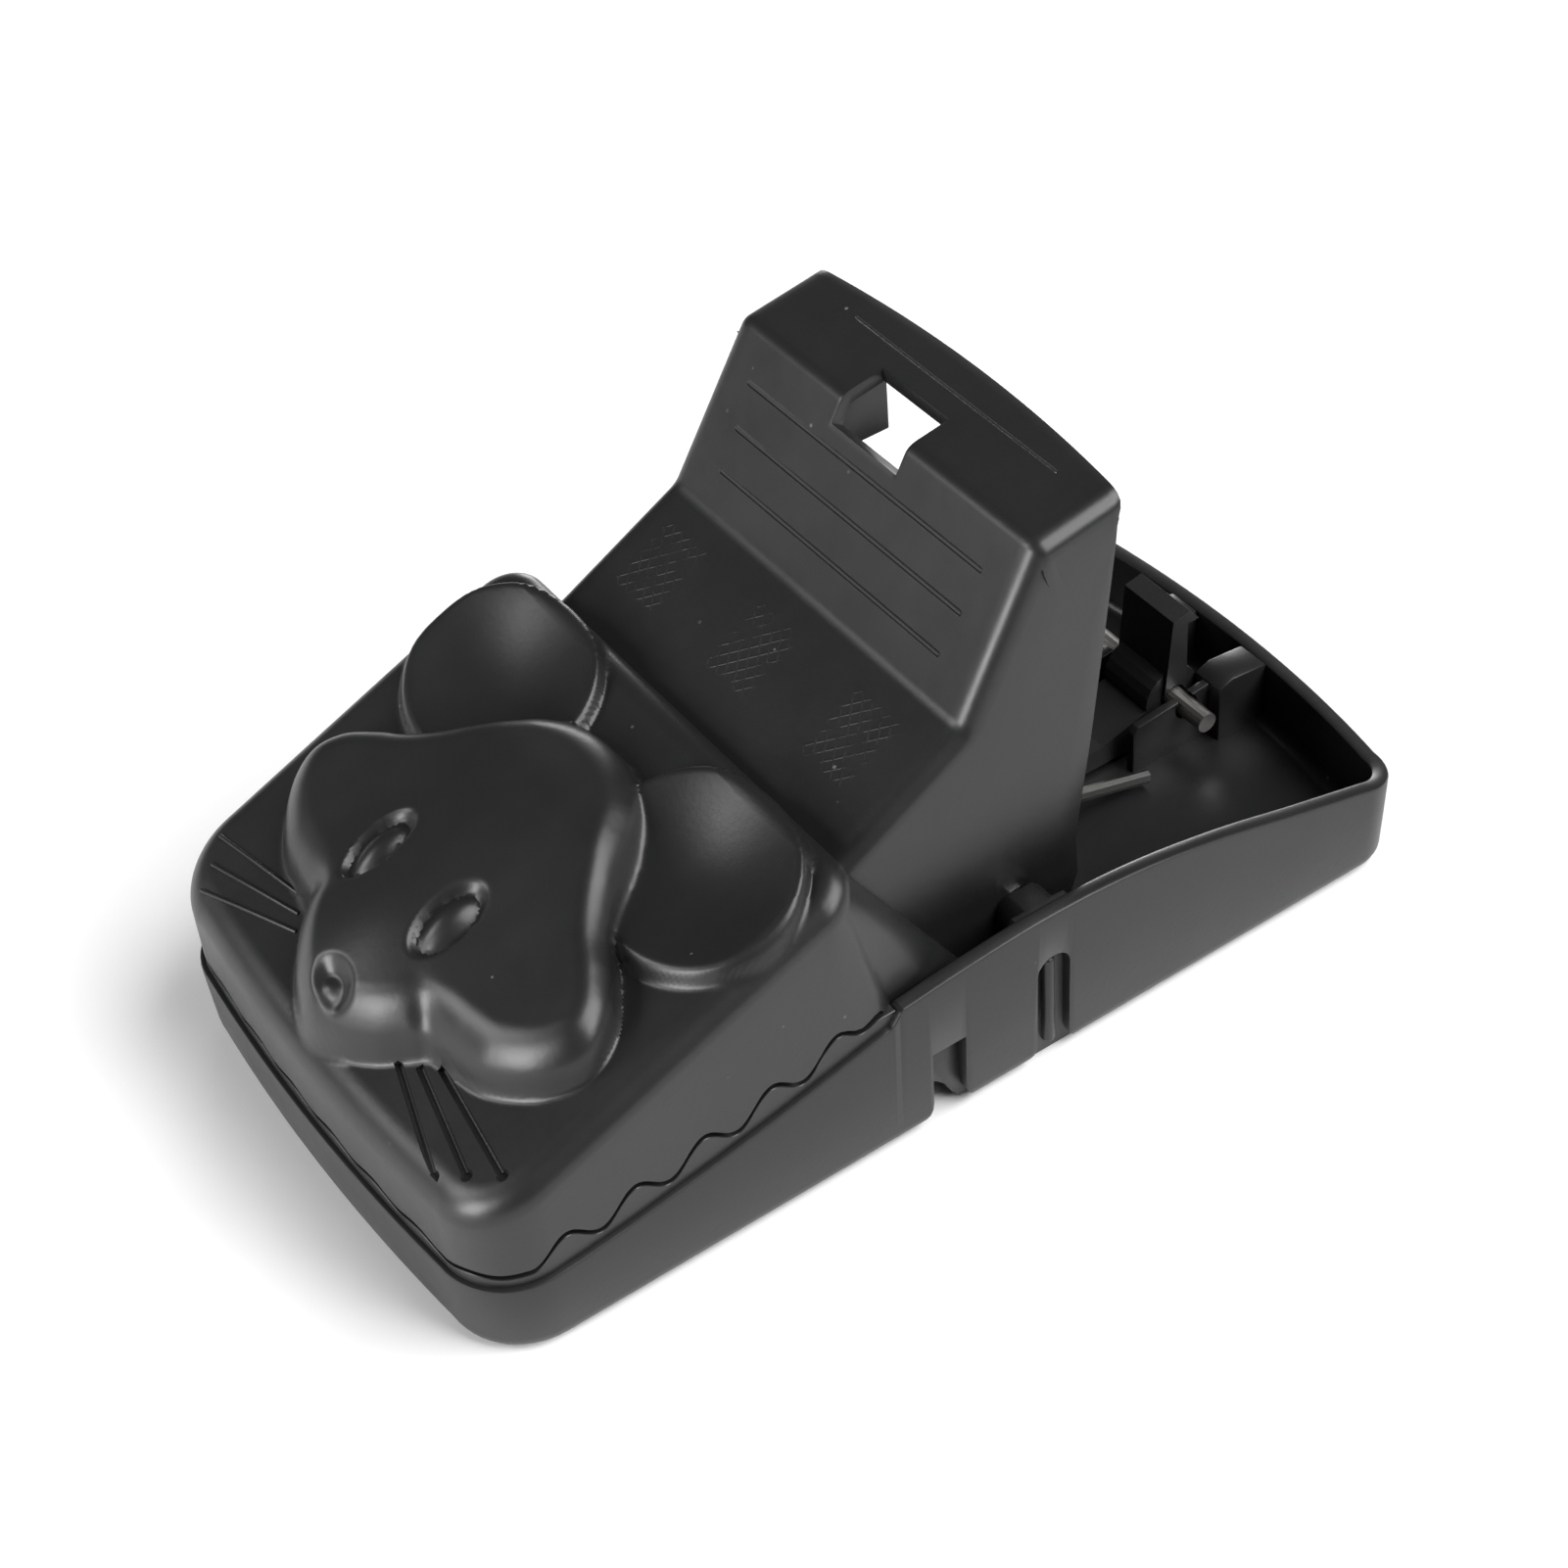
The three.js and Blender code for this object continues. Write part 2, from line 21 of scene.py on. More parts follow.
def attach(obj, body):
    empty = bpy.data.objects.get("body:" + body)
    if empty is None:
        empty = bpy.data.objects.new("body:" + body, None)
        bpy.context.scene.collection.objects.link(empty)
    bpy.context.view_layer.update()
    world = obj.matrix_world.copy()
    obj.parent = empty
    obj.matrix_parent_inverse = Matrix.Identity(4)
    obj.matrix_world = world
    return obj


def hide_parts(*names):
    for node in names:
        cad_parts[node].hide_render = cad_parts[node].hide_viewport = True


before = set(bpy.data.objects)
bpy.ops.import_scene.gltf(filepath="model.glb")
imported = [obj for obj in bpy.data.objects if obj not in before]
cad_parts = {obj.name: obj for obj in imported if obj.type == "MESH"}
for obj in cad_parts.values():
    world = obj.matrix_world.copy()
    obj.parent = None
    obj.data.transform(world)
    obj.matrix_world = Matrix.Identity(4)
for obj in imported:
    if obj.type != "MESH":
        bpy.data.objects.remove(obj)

MM = 0.001
DOUBLED = 0.001 * MM
PLASTIC_IOR = 1.5
STATION = "station"
Point2 = tuple[float, float]
Point3 = tuple[float, float, float]
PIVOT: Point2 = (7.2, 14.5)
AXLE_BORE = 1.8
PIN: Point2 = (39.2, 6.9)
LIP_END = -8.4
WAVE_END = -9.4
log = logging.getLogger("mouse_trap")


def at(x: float, y: float, z: float) -> Vector:
    """A place given in millimetres, as a vector in metres."""
    return Vector((x * MM, y * MM, z * MM))


def mix(a: float, b: float, t: float) -> float:
    """The value a share t of the way from a to b."""
    return a + (b - a) * t


def ease(low: float, high: float, value: float) -> float:
    """A smooth step from 0 at low to 1 at high."""
    t = min(1.0, max(0.0, (value - low) / (high - low)))
    return t * t * (3.0 - 2.0 * t)


def along(stations: Sequence[Point2], value: float) -> float:
    """Reads a smooth curve through stations.

    Args:
        stations: Pairs of place and height, with the places rising.
        value: The place to read at.

    Returns:
        The height on a Catmull-Rom curve through the stations.
    """
    last = len(stations) - 1
    if value <= stations[0][0]:
        return stations[0][1]
    if value >= stations[last][0]:
        return stations[last][1]
    k = next(i for i in range(last) if value <= stations[i + 1][0])
    (x1, p1), (x2, p2) = stations[k], stations[k + 1]
    p0 = stations[k - 1] if k > 0 else (2 * x1 - x2, 2 * p1 - p2)
    p3 = stations[k + 2] if k + 2 <= last else (2 * x2 - x1, 2 * p2 - p1)
    t = (value - x1) / (x2 - x1)
    m1 = (p2 - p0[1]) / (x2 - p0[0]) * (x2 - x1)
    m2 = (p3[1] - p1) / (p3[0] - x1) * (x2 - x1)
    t2, t3 = t * t, t * t * t
    return ((2 * t3 - 3 * t2 + 1) * p1 + (t3 - 2 * t2 + t) * m1
            + (3 * t2 - 2 * t3) * p2 + (t3 - t2) * m2)


def lengths(points: Sequence[Point2]) -> list[float]:
    """The way along a line of points to each of them, from 0 at the first."""
    run = [0.0]
    for a, b in zip(points, points[1:]):
        run.append(run[-1] + math.dist(a, b))
    return run


def turns(step: float, first: int, last: int) -> list[float]:
    """Angles in radians, from the first to the last multiple of a step in degrees."""
    return [math.radians(step * i) for i in range(first, last + 1)]


class Body(Enum):
    """The rigid bodies that pieces ride on."""

    TRAY = "root"
    JAW = "jaw"
    TRIGGER = "trigger"
    CUP = "cup"


class Bench:
    """The modelling steps that every piece shares."""

    @staticmethod
    def clear() -> None:
        """Leaves nothing selected, in object mode."""
        if bpy.context.object and bpy.context.object.mode != "OBJECT":
            bpy.ops.object.mode_set(mode="OBJECT")
        bpy.ops.object.select_all(action="DESELECT")

    @staticmethod
    def pick(piece: bpy.types.Object) -> None:
        """Makes one piece the selected, active one."""
        Bench.clear()
        piece.select_set(True)
        bpy.context.view_layer.objects.active = piece

    @staticmethod
    @contextmanager
    def editing(piece: bpy.types.Object) -> Iterator[None]:
        """Opens a piece in edit mode with all of it selected, for the steps inside."""
        Bench.pick(piece)
        bpy.ops.object.mode_set(mode="EDIT")
        bpy.ops.mesh.select_mode(type="VERT")
        bpy.ops.mesh.select_all(action="SELECT")
        yield
        bpy.ops.object.mode_set(mode="OBJECT")

    @staticmethod
    def numbered(name: str, place: Callable[[int], Vector]) -> bpy.types.Object:
        """Names the newest object, lays its points out and numbers them."""
        piece = bpy.context.object
        piece.name = name
        numbers = piece.data.attributes.new(STATION, "INT", "POINT")
        for index, vertex in enumerate(piece.data.vertices):
            vertex.co = place(index)
            numbers.data[index].value = index
        return piece

    @staticmethod
    def grid(name: str, columns: int, rows: int,
             place: Callable[[int, int], Vector]) -> bpy.types.Object:
        """Adds a grid and lays its points out.

        Args:
            name: The new object's name.
            columns: How many faces it has across.
            rows: How many faces it has along.
            place: Gives each point's place from its column and row.

        Returns:
            The grid, with each point numbered in the station attribute.
        """
        Bench.clear()
        bpy.ops.mesh.primitive_grid_add(x_subdivisions=columns, y_subdivisions=rows, size=MM)
        width = columns + 1
        return Bench.numbered(name, lambda index: place(index % width, index // width))

    @staticmethod
    def loop(name: str, count: int, place: Callable[[int], Vector]) -> bpy.types.Object:
        """Adds an open ring of points, numbered in the station attribute.

        Args:
            name: The new object's name.
            count: How many points it has.
            place: Gives each point's place from its number.

        Returns:
            The ring.
        """
        Bench.clear()
        bpy.ops.mesh.primitive_circle_add(vertices=count, radius=MM, fill_type="NOTHING")
        return Bench.numbered(name, place)

    @staticmethod
    def pull_border(piece: bpy.types.Object, steps: Sequence[Callable[[int], Vector]],
                    wanted: Callable[[int, int], bool] | None = None) -> None:
        """Extrudes a piece's open border, one strip of faces for each step.

        Args:
            piece: A mesh whose points are numbered.
            steps: For each strip, the place of a border point from its number.
            wanted: Says whether the edge between two numbers is pulled. All are by default.
        """
        Bench.pick(piece)
        bpy.ops.object.mode_set(mode="EDIT")
        bpy.ops.mesh.select_mode(type="EDGE")
        bpy.ops.mesh.select_all(action="DESELECT")
        mesh = bmesh.from_edit_mesh(piece.data)
        number = mesh.verts.layers.int[STATION]
        for edge in mesh.edges:
            a, b = edge.verts
            border = len(edge.link_faces) < 2
            edge.select_set(border and (wanted is None or wanted(a[number], b[number])))
        mesh.select_flush_mode()
        bmesh.update_edit_mesh(piece.data)
        for step in steps:
            bpy.ops.mesh.extrude_edges_indiv()
            mesh = bmesh.from_edit_mesh(piece.data)
            number = mesh.verts.layers.int[STATION]
            for vertex in mesh.verts:
                if vertex.select:
                    vertex.co = step(vertex[number])
            bmesh.update_edit_mesh(piece.data)
        bpy.ops.object.mode_set(mode="OBJECT")

    @staticmethod
    def close(piece: bpy.types.Object) -> None:
        """Merges doubled points, fills open borders and turns the faces outwards."""
        with Bench.editing(piece):
            bpy.ops.mesh.remove_doubles(threshold=DOUBLED)
            bpy.ops.mesh.fill_holes(sides=0)
            bpy.ops.mesh.select_all(action="SELECT")
            bpy.ops.mesh.normals_make_consistent(inside=False)

    @staticmethod
    def merge(piece: bpy.types.Object) -> None:
        """Merges doubled points and turns the faces of an open skin upwards."""
        with Bench.editing(piece):
            bpy.ops.mesh.remove_doubles(threshold=DOUBLED)
            bpy.ops.mesh.normals_make_consistent(inside=False)
        upward = sum(face.normal.z * face.area for face in piece.data.polygons)
        if upward < 0.0:
            with Bench.editing(piece):
                bpy.ops.mesh.flip_normals()

    @staticmethod
    def modify(piece: bpy.types.Object, kind: str, **settings: Any) -> None:
        """Adds a modifier with its settings and applies it."""
        Bench.pick(piece)
        modifier = piece.modifiers.new(kind.title(), kind)
        for key, value in settings.items():
            setattr(modifier, key, value)
        bpy.ops.object.modifier_apply(modifier=modifier.name)

    @staticmethod
    def combine(piece: bpy.types.Object, tool: bpy.types.Object,
                operation: str = "DIFFERENCE") -> None:
        """Cuts a tool out of a piece, or joins the two solids, and removes the tool."""
        Bench.modify(piece, "BOOLEAN", object=tool, operation=operation, solver="EXACT")
        bpy.data.objects.remove(tool, do_unlink=True)

    @staticmethod
    def block(name: str, low: Sequence[float], high: Sequence[float]) -> bpy.types.Object:
        """Adds a box between two corners, in millimetres."""
        Bench.clear()
        middle = [(a + b) / 2 for a, b in zip(low, high)]
        spans = [b - a for a, b in zip(low, high)]
        bpy.ops.mesh.primitive_cube_add(size=1.0, location=at(*middle), scale=at(*spans))
        piece = bpy.context.object
        piece.name = name
        Bench.settle(piece)
        return piece

    @staticmethod
    def rod(name: str, radius: float, start: Sequence[float], end: Sequence[float],
            sides: int = 32, edge: float = 0.0) -> bpy.types.Object:
        """Adds a round bar between two places, in millimetres."""
        Bench.clear()
        a, b = at(*start), at(*end)
        turn = (b - a).to_track_quat("Z", "Y").to_euler()
        bpy.ops.mesh.primitive_cylinder_add(
            vertices=sides, radius=radius * MM, depth=(b - a).length, location=(a + b) / 2,
            rotation=turn)
        piece = bpy.context.object
        piece.name = name
        Bench.settle(piece)
        Bench.soften(piece, edge, 3, 60.0)
        return piece

    @staticmethod
    def plate(name: str, outline: Sequence[Point2], x0: float, x1: float,
              edge: float = 0.0) -> bpy.types.Object:
        """Extrudes a (Y, Z) outline across the trap.

        Args:
            name: The new object's name.
            outline: The outline's corners, in millimetres.
            x0: Where the plate starts.
            x1: Where it ends.
            edge: How far its sharp edges are rounded.

        Returns:
            The closed plate.
        """
        Bench.clear()
        bpy.ops.mesh.primitive_circle_add(vertices=len(outline), radius=MM, fill_type="NGON")
        piece = bpy.context.object
        piece.name = name
        for vertex, (y, z) in zip(piece.data.vertices, outline):
            vertex.co = at(x0, y, z)
        with Bench.editing(piece):
            bpy.ops.mesh.extrude_region_move(
                TRANSFORM_OT_translate={"value": ((x1 - x0) * MM, 0.0, 0.0)})
        Bench.close(piece)
        Bench.soften(piece, edge)
        return piece

    @staticmethod
    def soften(piece: bpy.types.Object, edge: float, steps: int = 2, angle: float = 35.0) -> None:
        """Rounds edges sharper than an angle in degrees, by so many millimetres if any."""
        if edge > 0:
            Bench.modify(piece, "BEVEL", width=edge * MM, segments=steps, limit_method="ANGLE",
                         angle_limit=math.radians(angle), use_clamp_overlap=True)

    @staticmethod
    def settle(piece: bpy.types.Object) -> None:
        """Moves a piece's place, turn and size into its mesh."""
        Bench.pick(piece)
        bpy.ops.object.transform_apply(location=True, rotation=True, scale=True)

    @staticmethod
    def mirrored(piece: bpy.types.Object) -> bpy.types.Object:
        """Copies a piece to the trap's other side."""
        Bench.pick(piece)
        bpy.ops.object.duplicate(linked=False)
        twin = bpy.context.object
        twin.scale.x = -1.0
        Bench.settle(twin)
        with Bench.editing(twin):
            bpy.ops.mesh.normals_make_consistent(inside=False)
        return twin

    @staticmethod
    def join(name: str, pieces: Sequence[bpy.types.Object]) -> bpy.types.Object:
        """Makes one object of several."""
        Bench.pick(pieces[0])
        for piece in pieces[1:]:
            piece.select_set(True)
        if len(pieces) > 1:
            bpy.ops.object.join()
        whole = bpy.context.object
        whole.name = name
        whole.data.name = name
        return whole

    @staticmethod
    def smooth(piece: bpy.types.Object, angle: float = 32.0) -> None:
        """Shades a piece smooth, apart from edges sharper than the angle in degrees."""
        Bench.pick(piece)
        bpy.ops.object.shade_smooth_by_angle(angle=math.radians(angle))


class Value:
    """A number in a material that takes part in Python sums."""

    def __init__(self, sheet: "Sheet", socket: bpy.types.NodeSocket) -> None:
        """Wraps a socket of a sheet."""
        self.sheet = sheet
        self.socket = socket

    def __add__(self, other: "Value | float") -> "Value":
        """Adds."""
        return self.sheet.sum("ADD", self, other)

    def __sub__(self, other: "Value | float") -> "Value":
        """Takes other away."""
        return self.sheet.sum("SUBTRACT", self, other)

    def __mul__(self, other: "Value | float") -> "Value":
        """Multiplies."""
        return self.sheet.sum("MULTIPLY", self, other)

    def __truediv__(self, other: "Value | float") -> "Value":
        """Divides by other."""
        return self.sheet.sum("DIVIDE", self, other)

    def least(self, other: "Value | float") -> "Value":
        """The smaller of two values."""
        return self.sheet.sum("MINIMUM", self, other)

    def most(self, other: "Value | float") -> "Value":
        """The larger of two values."""
        return self.sheet.sum("MAXIMUM", self, other)

    def magnitude(self) -> "Value":
        """The value without its sign."""
        return self.sheet.sum("ABSOLUTE", self)

    def root(self) -> "Value":
        """The square root."""
        return self.sheet.sum("SQRT", self)

    def step(self, low: float, high: float) -> "Value":
        """A smooth step from 0 at low to 1 at high, or down where low is above high."""
        made = self.sheet.node("ShaderNodeMapRange", {"interpolation_type": "SMOOTHSTEP"},
                               {0: self, 1: low, 2: high, 3: 0.0, 4: 1.0})
        return Value(self.sheet, made.outputs[0])


class Sheet:
    """One material's nodes."""

    def __init__(self, name: str) -> None:
        """Starts an empty material."""
        self.material = bpy.data.materials.new(name)
        self.material.use_nodes = True
        self.tree = self.material.node_tree
        self.tree.nodes.clear()

    def node(self, kind: str, settings: dict[str, Any] | None = None,
             sockets: dict[str | int, Any] | None = None) -> bpy.types.Node:
        """Adds a node.

        Args:
            kind: The node's type.
            settings: Its own settings, set first.
            sockets: Values or links of its inputs, by name or number.

        Returns:
            The node.
        """
        made = self.tree.nodes.new(kind)
        for key, value in (settings or {}).items():
            setattr(made, key, value)
        for key, value in (sockets or {}).items():
            self.feed(made.inputs[key], value)
        return made

    def feed(self, socket: bpy.types.NodeSocket, value: Any) -> None:
        """Links a socket to an input, or sets it."""
        if isinstance(value, Value):
            self.tree.links.new(value.socket, socket)
        elif isinstance(value, bpy.types.NodeSocket):
            self.tree.links.new(value, socket)
        else:
            socket.default_value = value

    def sum(self, operation: str, *terms: Value | float) -> Value:
        """One Math node on values or numbers."""
        made = self.node("ShaderNodeMath", {"operation": operation}, dict(enumerate(terms)))
        return Value(self, made.outputs[0])

    def place(self) -> tuple[Value, Value, Value]:
        """The object coordinates, in millimetres."""
        source = self.node("ShaderNodeTexCoord")
        parts = self.node("ShaderNodeSeparateXYZ", None, {0: source.outputs["Object"]})
        return tuple(Value(self, parts.outputs[i]) * (1.0 / MM) for i in range(3))

    def noise(self, size: float, detail: float = 2.0,
              stretch: Sequence[float] = (1.0, 1.0, 1.0)) -> Value:
        """Noise whose blotches are about size millimetres wide."""
        source = self.node("ShaderNodeTexCoord")
        placed = self.node("ShaderNodeMapping", None,
                           {"Vector": source.outputs["Object"], "Scale": stretch})
        made = self.node("ShaderNodeTexNoise", None,
                         {"Vector": placed.outputs[0], "Scale": 1.0 / (size * MM),
                          "Detail": detail})
        return Value(self, made.outputs[0])

    def specks(self, size: float) -> Value:
        """The distance to the nearest of many scattered points, in cells of size millimetres."""
        source = self.node("ShaderNodeTexCoord")
        made = self.node("ShaderNodeTexVoronoi", None,
                         {"Vector": source.outputs["Object"], "Scale": 1.0 / (size * MM)})
        return Value(self, made.outputs["Distance"])

    def tint(self, share: Value, low: Any, high: Any) -> bpy.types.NodeSocket:
        """A colour between two, by share. Each is three numbers or another node's output."""
        ends = {key: end if isinstance(end, bpy.types.NodeSocket) else (*end, 1.0)
                for key, end in ((6, low), (7, high))}
        return self.node("ShaderNodeMix", {"data_type": "RGBA"}, {0: share, **ends}).outputs[2]

    def relief(self, height: Value, depth: float,
               below: bpy.types.NodeSocket | None = None) -> bpy.types.NodeSocket:
        """A bump of height times depth millimetres."""
        sockets: dict[str | int, Any] = {"Height": height, "Distance": depth * MM, "Strength": 1.0}
        if below is not None:
            sockets["Normal"] = below
        return self.node("ShaderNodeBump", None, sockets).outputs[0]

    def stroke(self, x: Value, y: Value, start: Point2, end: Point2, width: float) -> Value:
        """A soft line between two places of a plane.

        Args:
            x: The first coordinate, in millimetres.
            y: The second coordinate.
            start: Where the line starts.
            end: Where it ends.
            width: How wide it is.

        Returns:
            1 on the line and 0 away from it.
        """
        dx, dy = end[0] - start[0], end[1] - start[1]
        square = dx * dx + dy * dy
        share = (((x - start[0]) * dx + (y - start[1]) * dy) / square).most(0.0).least(1.0)
        off_x = x - start[0] - share * dx
        off_y = y - start[1] - share * dy
        gap = (off_x * off_x + off_y * off_y).root()
        return gap.step(width * 0.5, width * 0.15)

    def finish(self, sockets: dict[str | int, Any]) -> bpy.types.Material:
        """Ends the material in a Principled shader with these inputs."""
        shader = self.node("ShaderNodeBsdfPrincipled", None, sockets)
        out = self.node("ShaderNodeOutputMaterial")
        self.tree.links.new(shader.outputs[0], out.inputs[0])
        return self.material


@dataclass(frozen=True)
class MouldedPlastic:
    """Satin black moulded plastic with soft flow blotches, fine grain and stray scuffs."""

    name: str
    dark: Point3 = (0.0085, 0.0088, 0.0092)
    light: Point3 = (0.0135, 0.0137, 0.0140)
    dust: Point3 = (0.10, 0.10, 0.098)
    roughness: float = 0.36
    spread: float = 0.10
    grain: float = 0.010

    def roughness_of(self, sheet: Sheet) -> Value:
        """The roughness, with blotches and faint rubbed streaks."""
        blotches = sheet.noise(9.0, 3.0)
        streaks = sheet.noise(2.2, 4.0, (1.0, 0.25, 1.0))
        return (blotches * 0.6 + streaks * 0.4 - 0.5) * (2.0 * self.spread) + self.roughness

    def specks_of(self, sheet: Sheet) -> Value:
        """Sparse pale dust specks and nicks."""
        near = sheet.specks(3.4).step(0.062, 0.03)
        some = sheet.noise(14.0, 1.0).step(0.52, 0.62)
        return near * some

    def grain_of(self, sheet: Sheet) -> bpy.types.NodeSocket:
        """The fine moulding texture, over a slow waviness of the faces."""
        slow = sheet.relief(sheet.noise(12.0, 1.0), 0.10)
        fine = sheet.noise(0.55, 3.0)
        return sheet.relief(fine, self.grain, slow)

    def tone_of(self, sheet: Sheet) -> Value:
        """How light the plastic is from place to place."""
        return sheet.noise(16.0, 3.0) * 0.9 + sheet.noise(1.4, 2.0) * 0.3

    def material(self) -> bpy.types.Material:
        """The plain finish, for the tray and the small parts."""
        sheet = Sheet(self.name)
        specks = self.specks_of(sheet)
        plain = sheet.tint(self.tone_of(sheet).least(1.0), self.dark, self.light)
        return sheet.finish({
            "Base Color": sheet.tint(specks, plain, self.dust),
            "Roughness": self.roughness_of(sheet) + specks * 0.3,
            "Normal": self.grain_of(sheet), "IOR": PLASTIC_IOR})


@dataclass(frozen=True)
class JawPlastic(MouldedPlastic):
    """The same plastic with the jaw's marks: the engraved handle ribs and rear line, and raised
    grip patches.
    """

    ribs: tuple[Point3, ...] = (
        (45.6, -16.0, 15.6), (42.2, -15.4, 15.4), (38.8, -15.2, 15.0))
    rear_line: tuple[Point2, Point2] = ((-12.0, 17.2), (14.5, 17.0))
    patches: tuple[float, ...] = (-14.6, -0.9, 12.8)
    hatch: float = 0.62
    # The engraved lines' colour: painted shade, darker than the plastic, as if shadowed inside the
    # grooves.
    groove: Point3 = (0.002, 0.002, 0.002)

    def engraved(self, sheet: Sheet, x: Value, y: Value, z: Value) -> Value:
        """Where the handle's lines are cut in, on its front and along its rear edge; the mask
        gives them their bump and their painted shade.
        """
        on_front = y.step(2.0, 2.6) * y.step(11.0, 10.4)
        on_top = z.step(49.0, 49.6)
        cut = sheet.stroke(x, y, *self.rear_line, 0.35) * on_top * 0.5
        for height, left, right in self.ribs:
            rib = sheet.stroke(x, z, (left, height), (right, height), 0.5)
            cut = cut.most(rib * on_front * 0.5)
        return cut

    def grip(self, sheet: Sheet, x: Value, y: Value, z: Value) -> Value:
        """Faint raised hatching in three patches on the saddle."""
        lines, crossed = (sheet.sum("PINGPONG", way, self.hatch).step(0.16, 0.06)
                          for way in (x + y, x - y))
        on_top = z.step(29.5, 30.5)
        across = [(x - centre).magnitude().step(3.1, 2.6) for centre in self.patches]
        area = reduce(operator.add, across) * (y + 2.4).magnitude().step(3.2, 2.7)
        worn = sheet.noise(1.8, 2.0).step(0.35, 0.6)
        return lines.most(crossed) * area * on_top * worn

    def material(self) -> bpy.types.Material:
        """The jaw's finish, with painted shade darkening the engraved lines."""
        sheet = Sheet(self.name)
        x, y, z = sheet.place()
        cut = self.engraved(sheet, x, y, z)
        grip = self.grip(sheet, x, y, z)
        specks = self.specks_of(sheet)
        share = (self.tone_of(sheet) + grip * 0.3).least(1.0)
        dusty = sheet.tint(specks, sheet.tint(share, self.dark, self.light), self.dust)
        return sheet.finish({
            # The engraved lines are tinted towards the groove colour: painted shade in the
            # grooves.
            "Base Color": sheet.tint(cut * 0.8, dusty, self.groove),
            "Roughness": self.roughness_of(sheet) + specks * 0.3 + cut * 0.25 + grip * 0.06,
            "Normal": sheet.relief(grip * 0.22 - cut * 2.0, 0.12, self.grain_of(sheet)),
            "IOR": PLASTIC_IOR})


@dataclass(frozen=True)
class DrawnSteel:
    """Plated steel wire or pin with fine lengthwise drawing marks."""

    name: str
    bright: Point3 = (0.62, 0.61, 0.58)
    dull: Point3 = (0.34, 0.33, 0.31)
    roughness: float = 0.28
    stretch: Point3 = (0.08, 1.0, 1.0)

    def material(self) -> bpy.types.Material:
        """The finish."""
        sheet = Sheet(self.name)
        marks = sheet.noise(0.25, 3.0, self.stretch)
        stain = sheet.noise(3.0, 3.0).step(0.45, 0.75)
        colour = sheet.tint((marks * 0.4 + stain * 0.6).least(1.0), self.bright, self.dull)
        return sheet.finish({
            "Base Color": colour, "Metallic": 1.0,
            "Roughness": marks * 0.14 + stain * 0.16 + self.roughness,
            "Normal": sheet.relief(marks, 0.02)})


@dataclass(frozen=True)
class Seam:
    """The wavy line between the tray's lip and the jaw's skirt, and the tray's side profile."""

    rim: tuple[Point2, ...] = ((-50, 7.9), (-44, 8.25), (-35, 9.3), (-22, 11.6), (WAVE_END, 14.6))
    hump: tuple[Point2, ...] = (
        (-7.9, 16.1), (-1, 16.8), (7, 17.2), (16, 16.6), (25, 14.9), (34, 12.4), (43, 10),
        (52, 7.6))
    rise: float = 1.95
    wave: float = 1.05
    pitch: float = 6.45
    first: float = -43.2
    front_height: float = 8.6
    front_wave: float = 0.25

    def rim_height(self, y: float) -> float:
        """The tray rim's height at a place along the trap."""
        if y < self.rim[-1][0]:
            return along(self.rim, y)
        if y > self.hump[0][0]:
            return along(self.hump, y)
        return mix(self.rim[-1][1], self.hump[0][1], ease(self.rim[-1][0], self.hump[0][0], y))

    def height(self, x: float, y: float) -> float:
        """The seam's height at a place on the outline."""
        phase = 2.0 * math.pi / self.pitch
        if y > self.first:
            wave = (along(self.rim, min(y, WAVE_END)) + self.rise
                    - self.wave * math.cos(phase * (y - self.first)))
            return mix(wave, self.hump[0][1] - 0.15, ease(-13.0, -9.2, y))
        start = along(self.rim, self.first) + self.rise - self.wave
        front = self.front_height + self.front_wave * (1.0 - math.cos(phase * x))
        return mix(start, front, ease(self.first, self.first - 4.0, y))


@dataclass(frozen=True)
class Plan:
    """The trap's rounded outline seen from above, with bowed ends."""

    half: float = 26.3
    front: float = -48.1
    rear: float = 46.6
    front_corner: float = 6.9
    rear_corner: float = 4.5
    front_bow: float = 0.9
    rear_bow: float = 2.4

    def stations(self) -> list[tuple[str, float]]:
        """The outline's stations, anticlockwise from the front left.

        Returns:
            For each, the stretch that it is on and its place there, as a share or as Y on a side.
        """
        def shares(stretch: str, count: int) -> list[tuple[str, float]]:
            """Evenly spaced stations of a stretch, without its last."""
            return [(stretch, i / count) for i in range(count)]

        low, high = self.front + self.front_corner, self.rear - self.rear_corner
        sides = sorted({round(low + (high - low) * i / 110, 3) for i in range(110)}
                       | {round(WAVE_END + 1.5 * i / 8, 3) for i in range(9)})
        falling = [high] + [y for y in reversed(sides) if y > low]
        return (shares("front", 28) + shares("front right", 14)
                + [("right", y) for y in sides] + shares("rear right", 12)
                + shares("rear", 28) + shares("rear left", 12)
                + [("left", y) for y in falling] + shares("front left", 14))

    def point(self, station: tuple[str, float], inset: float) -> Point2:
        """A station's place, so far inside the outline."""
        kind, t = station
        half = self.half - inset
        fr, rr = self.front_corner - inset, self.rear_corner - inset
        fy, ry = self.front + inset, self.rear - inset
        if kind == "front":
            return (-half + fr) + 2 * (half - fr) * t, fy - 4 * self.front_bow * t * (1 - t)
        if kind == "rear":
            return (half - rr) - 2 * (half - rr) * t, ry + 4 * self.rear_bow * t * (1 - t)
        if kind in ("right", "left"):
            return (half if kind == "right" else -half), t
        corners = {"front right": (half - fr, fy + fr, fr, -90),
                   "rear right": (half - rr, ry - rr, rr, 0),
                   "rear left": (-half + rr, ry - rr, rr, 90),
                   "front left": (-half + fr, fy + fr, fr, 180)}
        cx, cy, radius, start = corners[kind]
        angle = math.radians(start + 90 * t)
        return cx + radius * math.cos(angle), cy + radius * math.sin(angle)


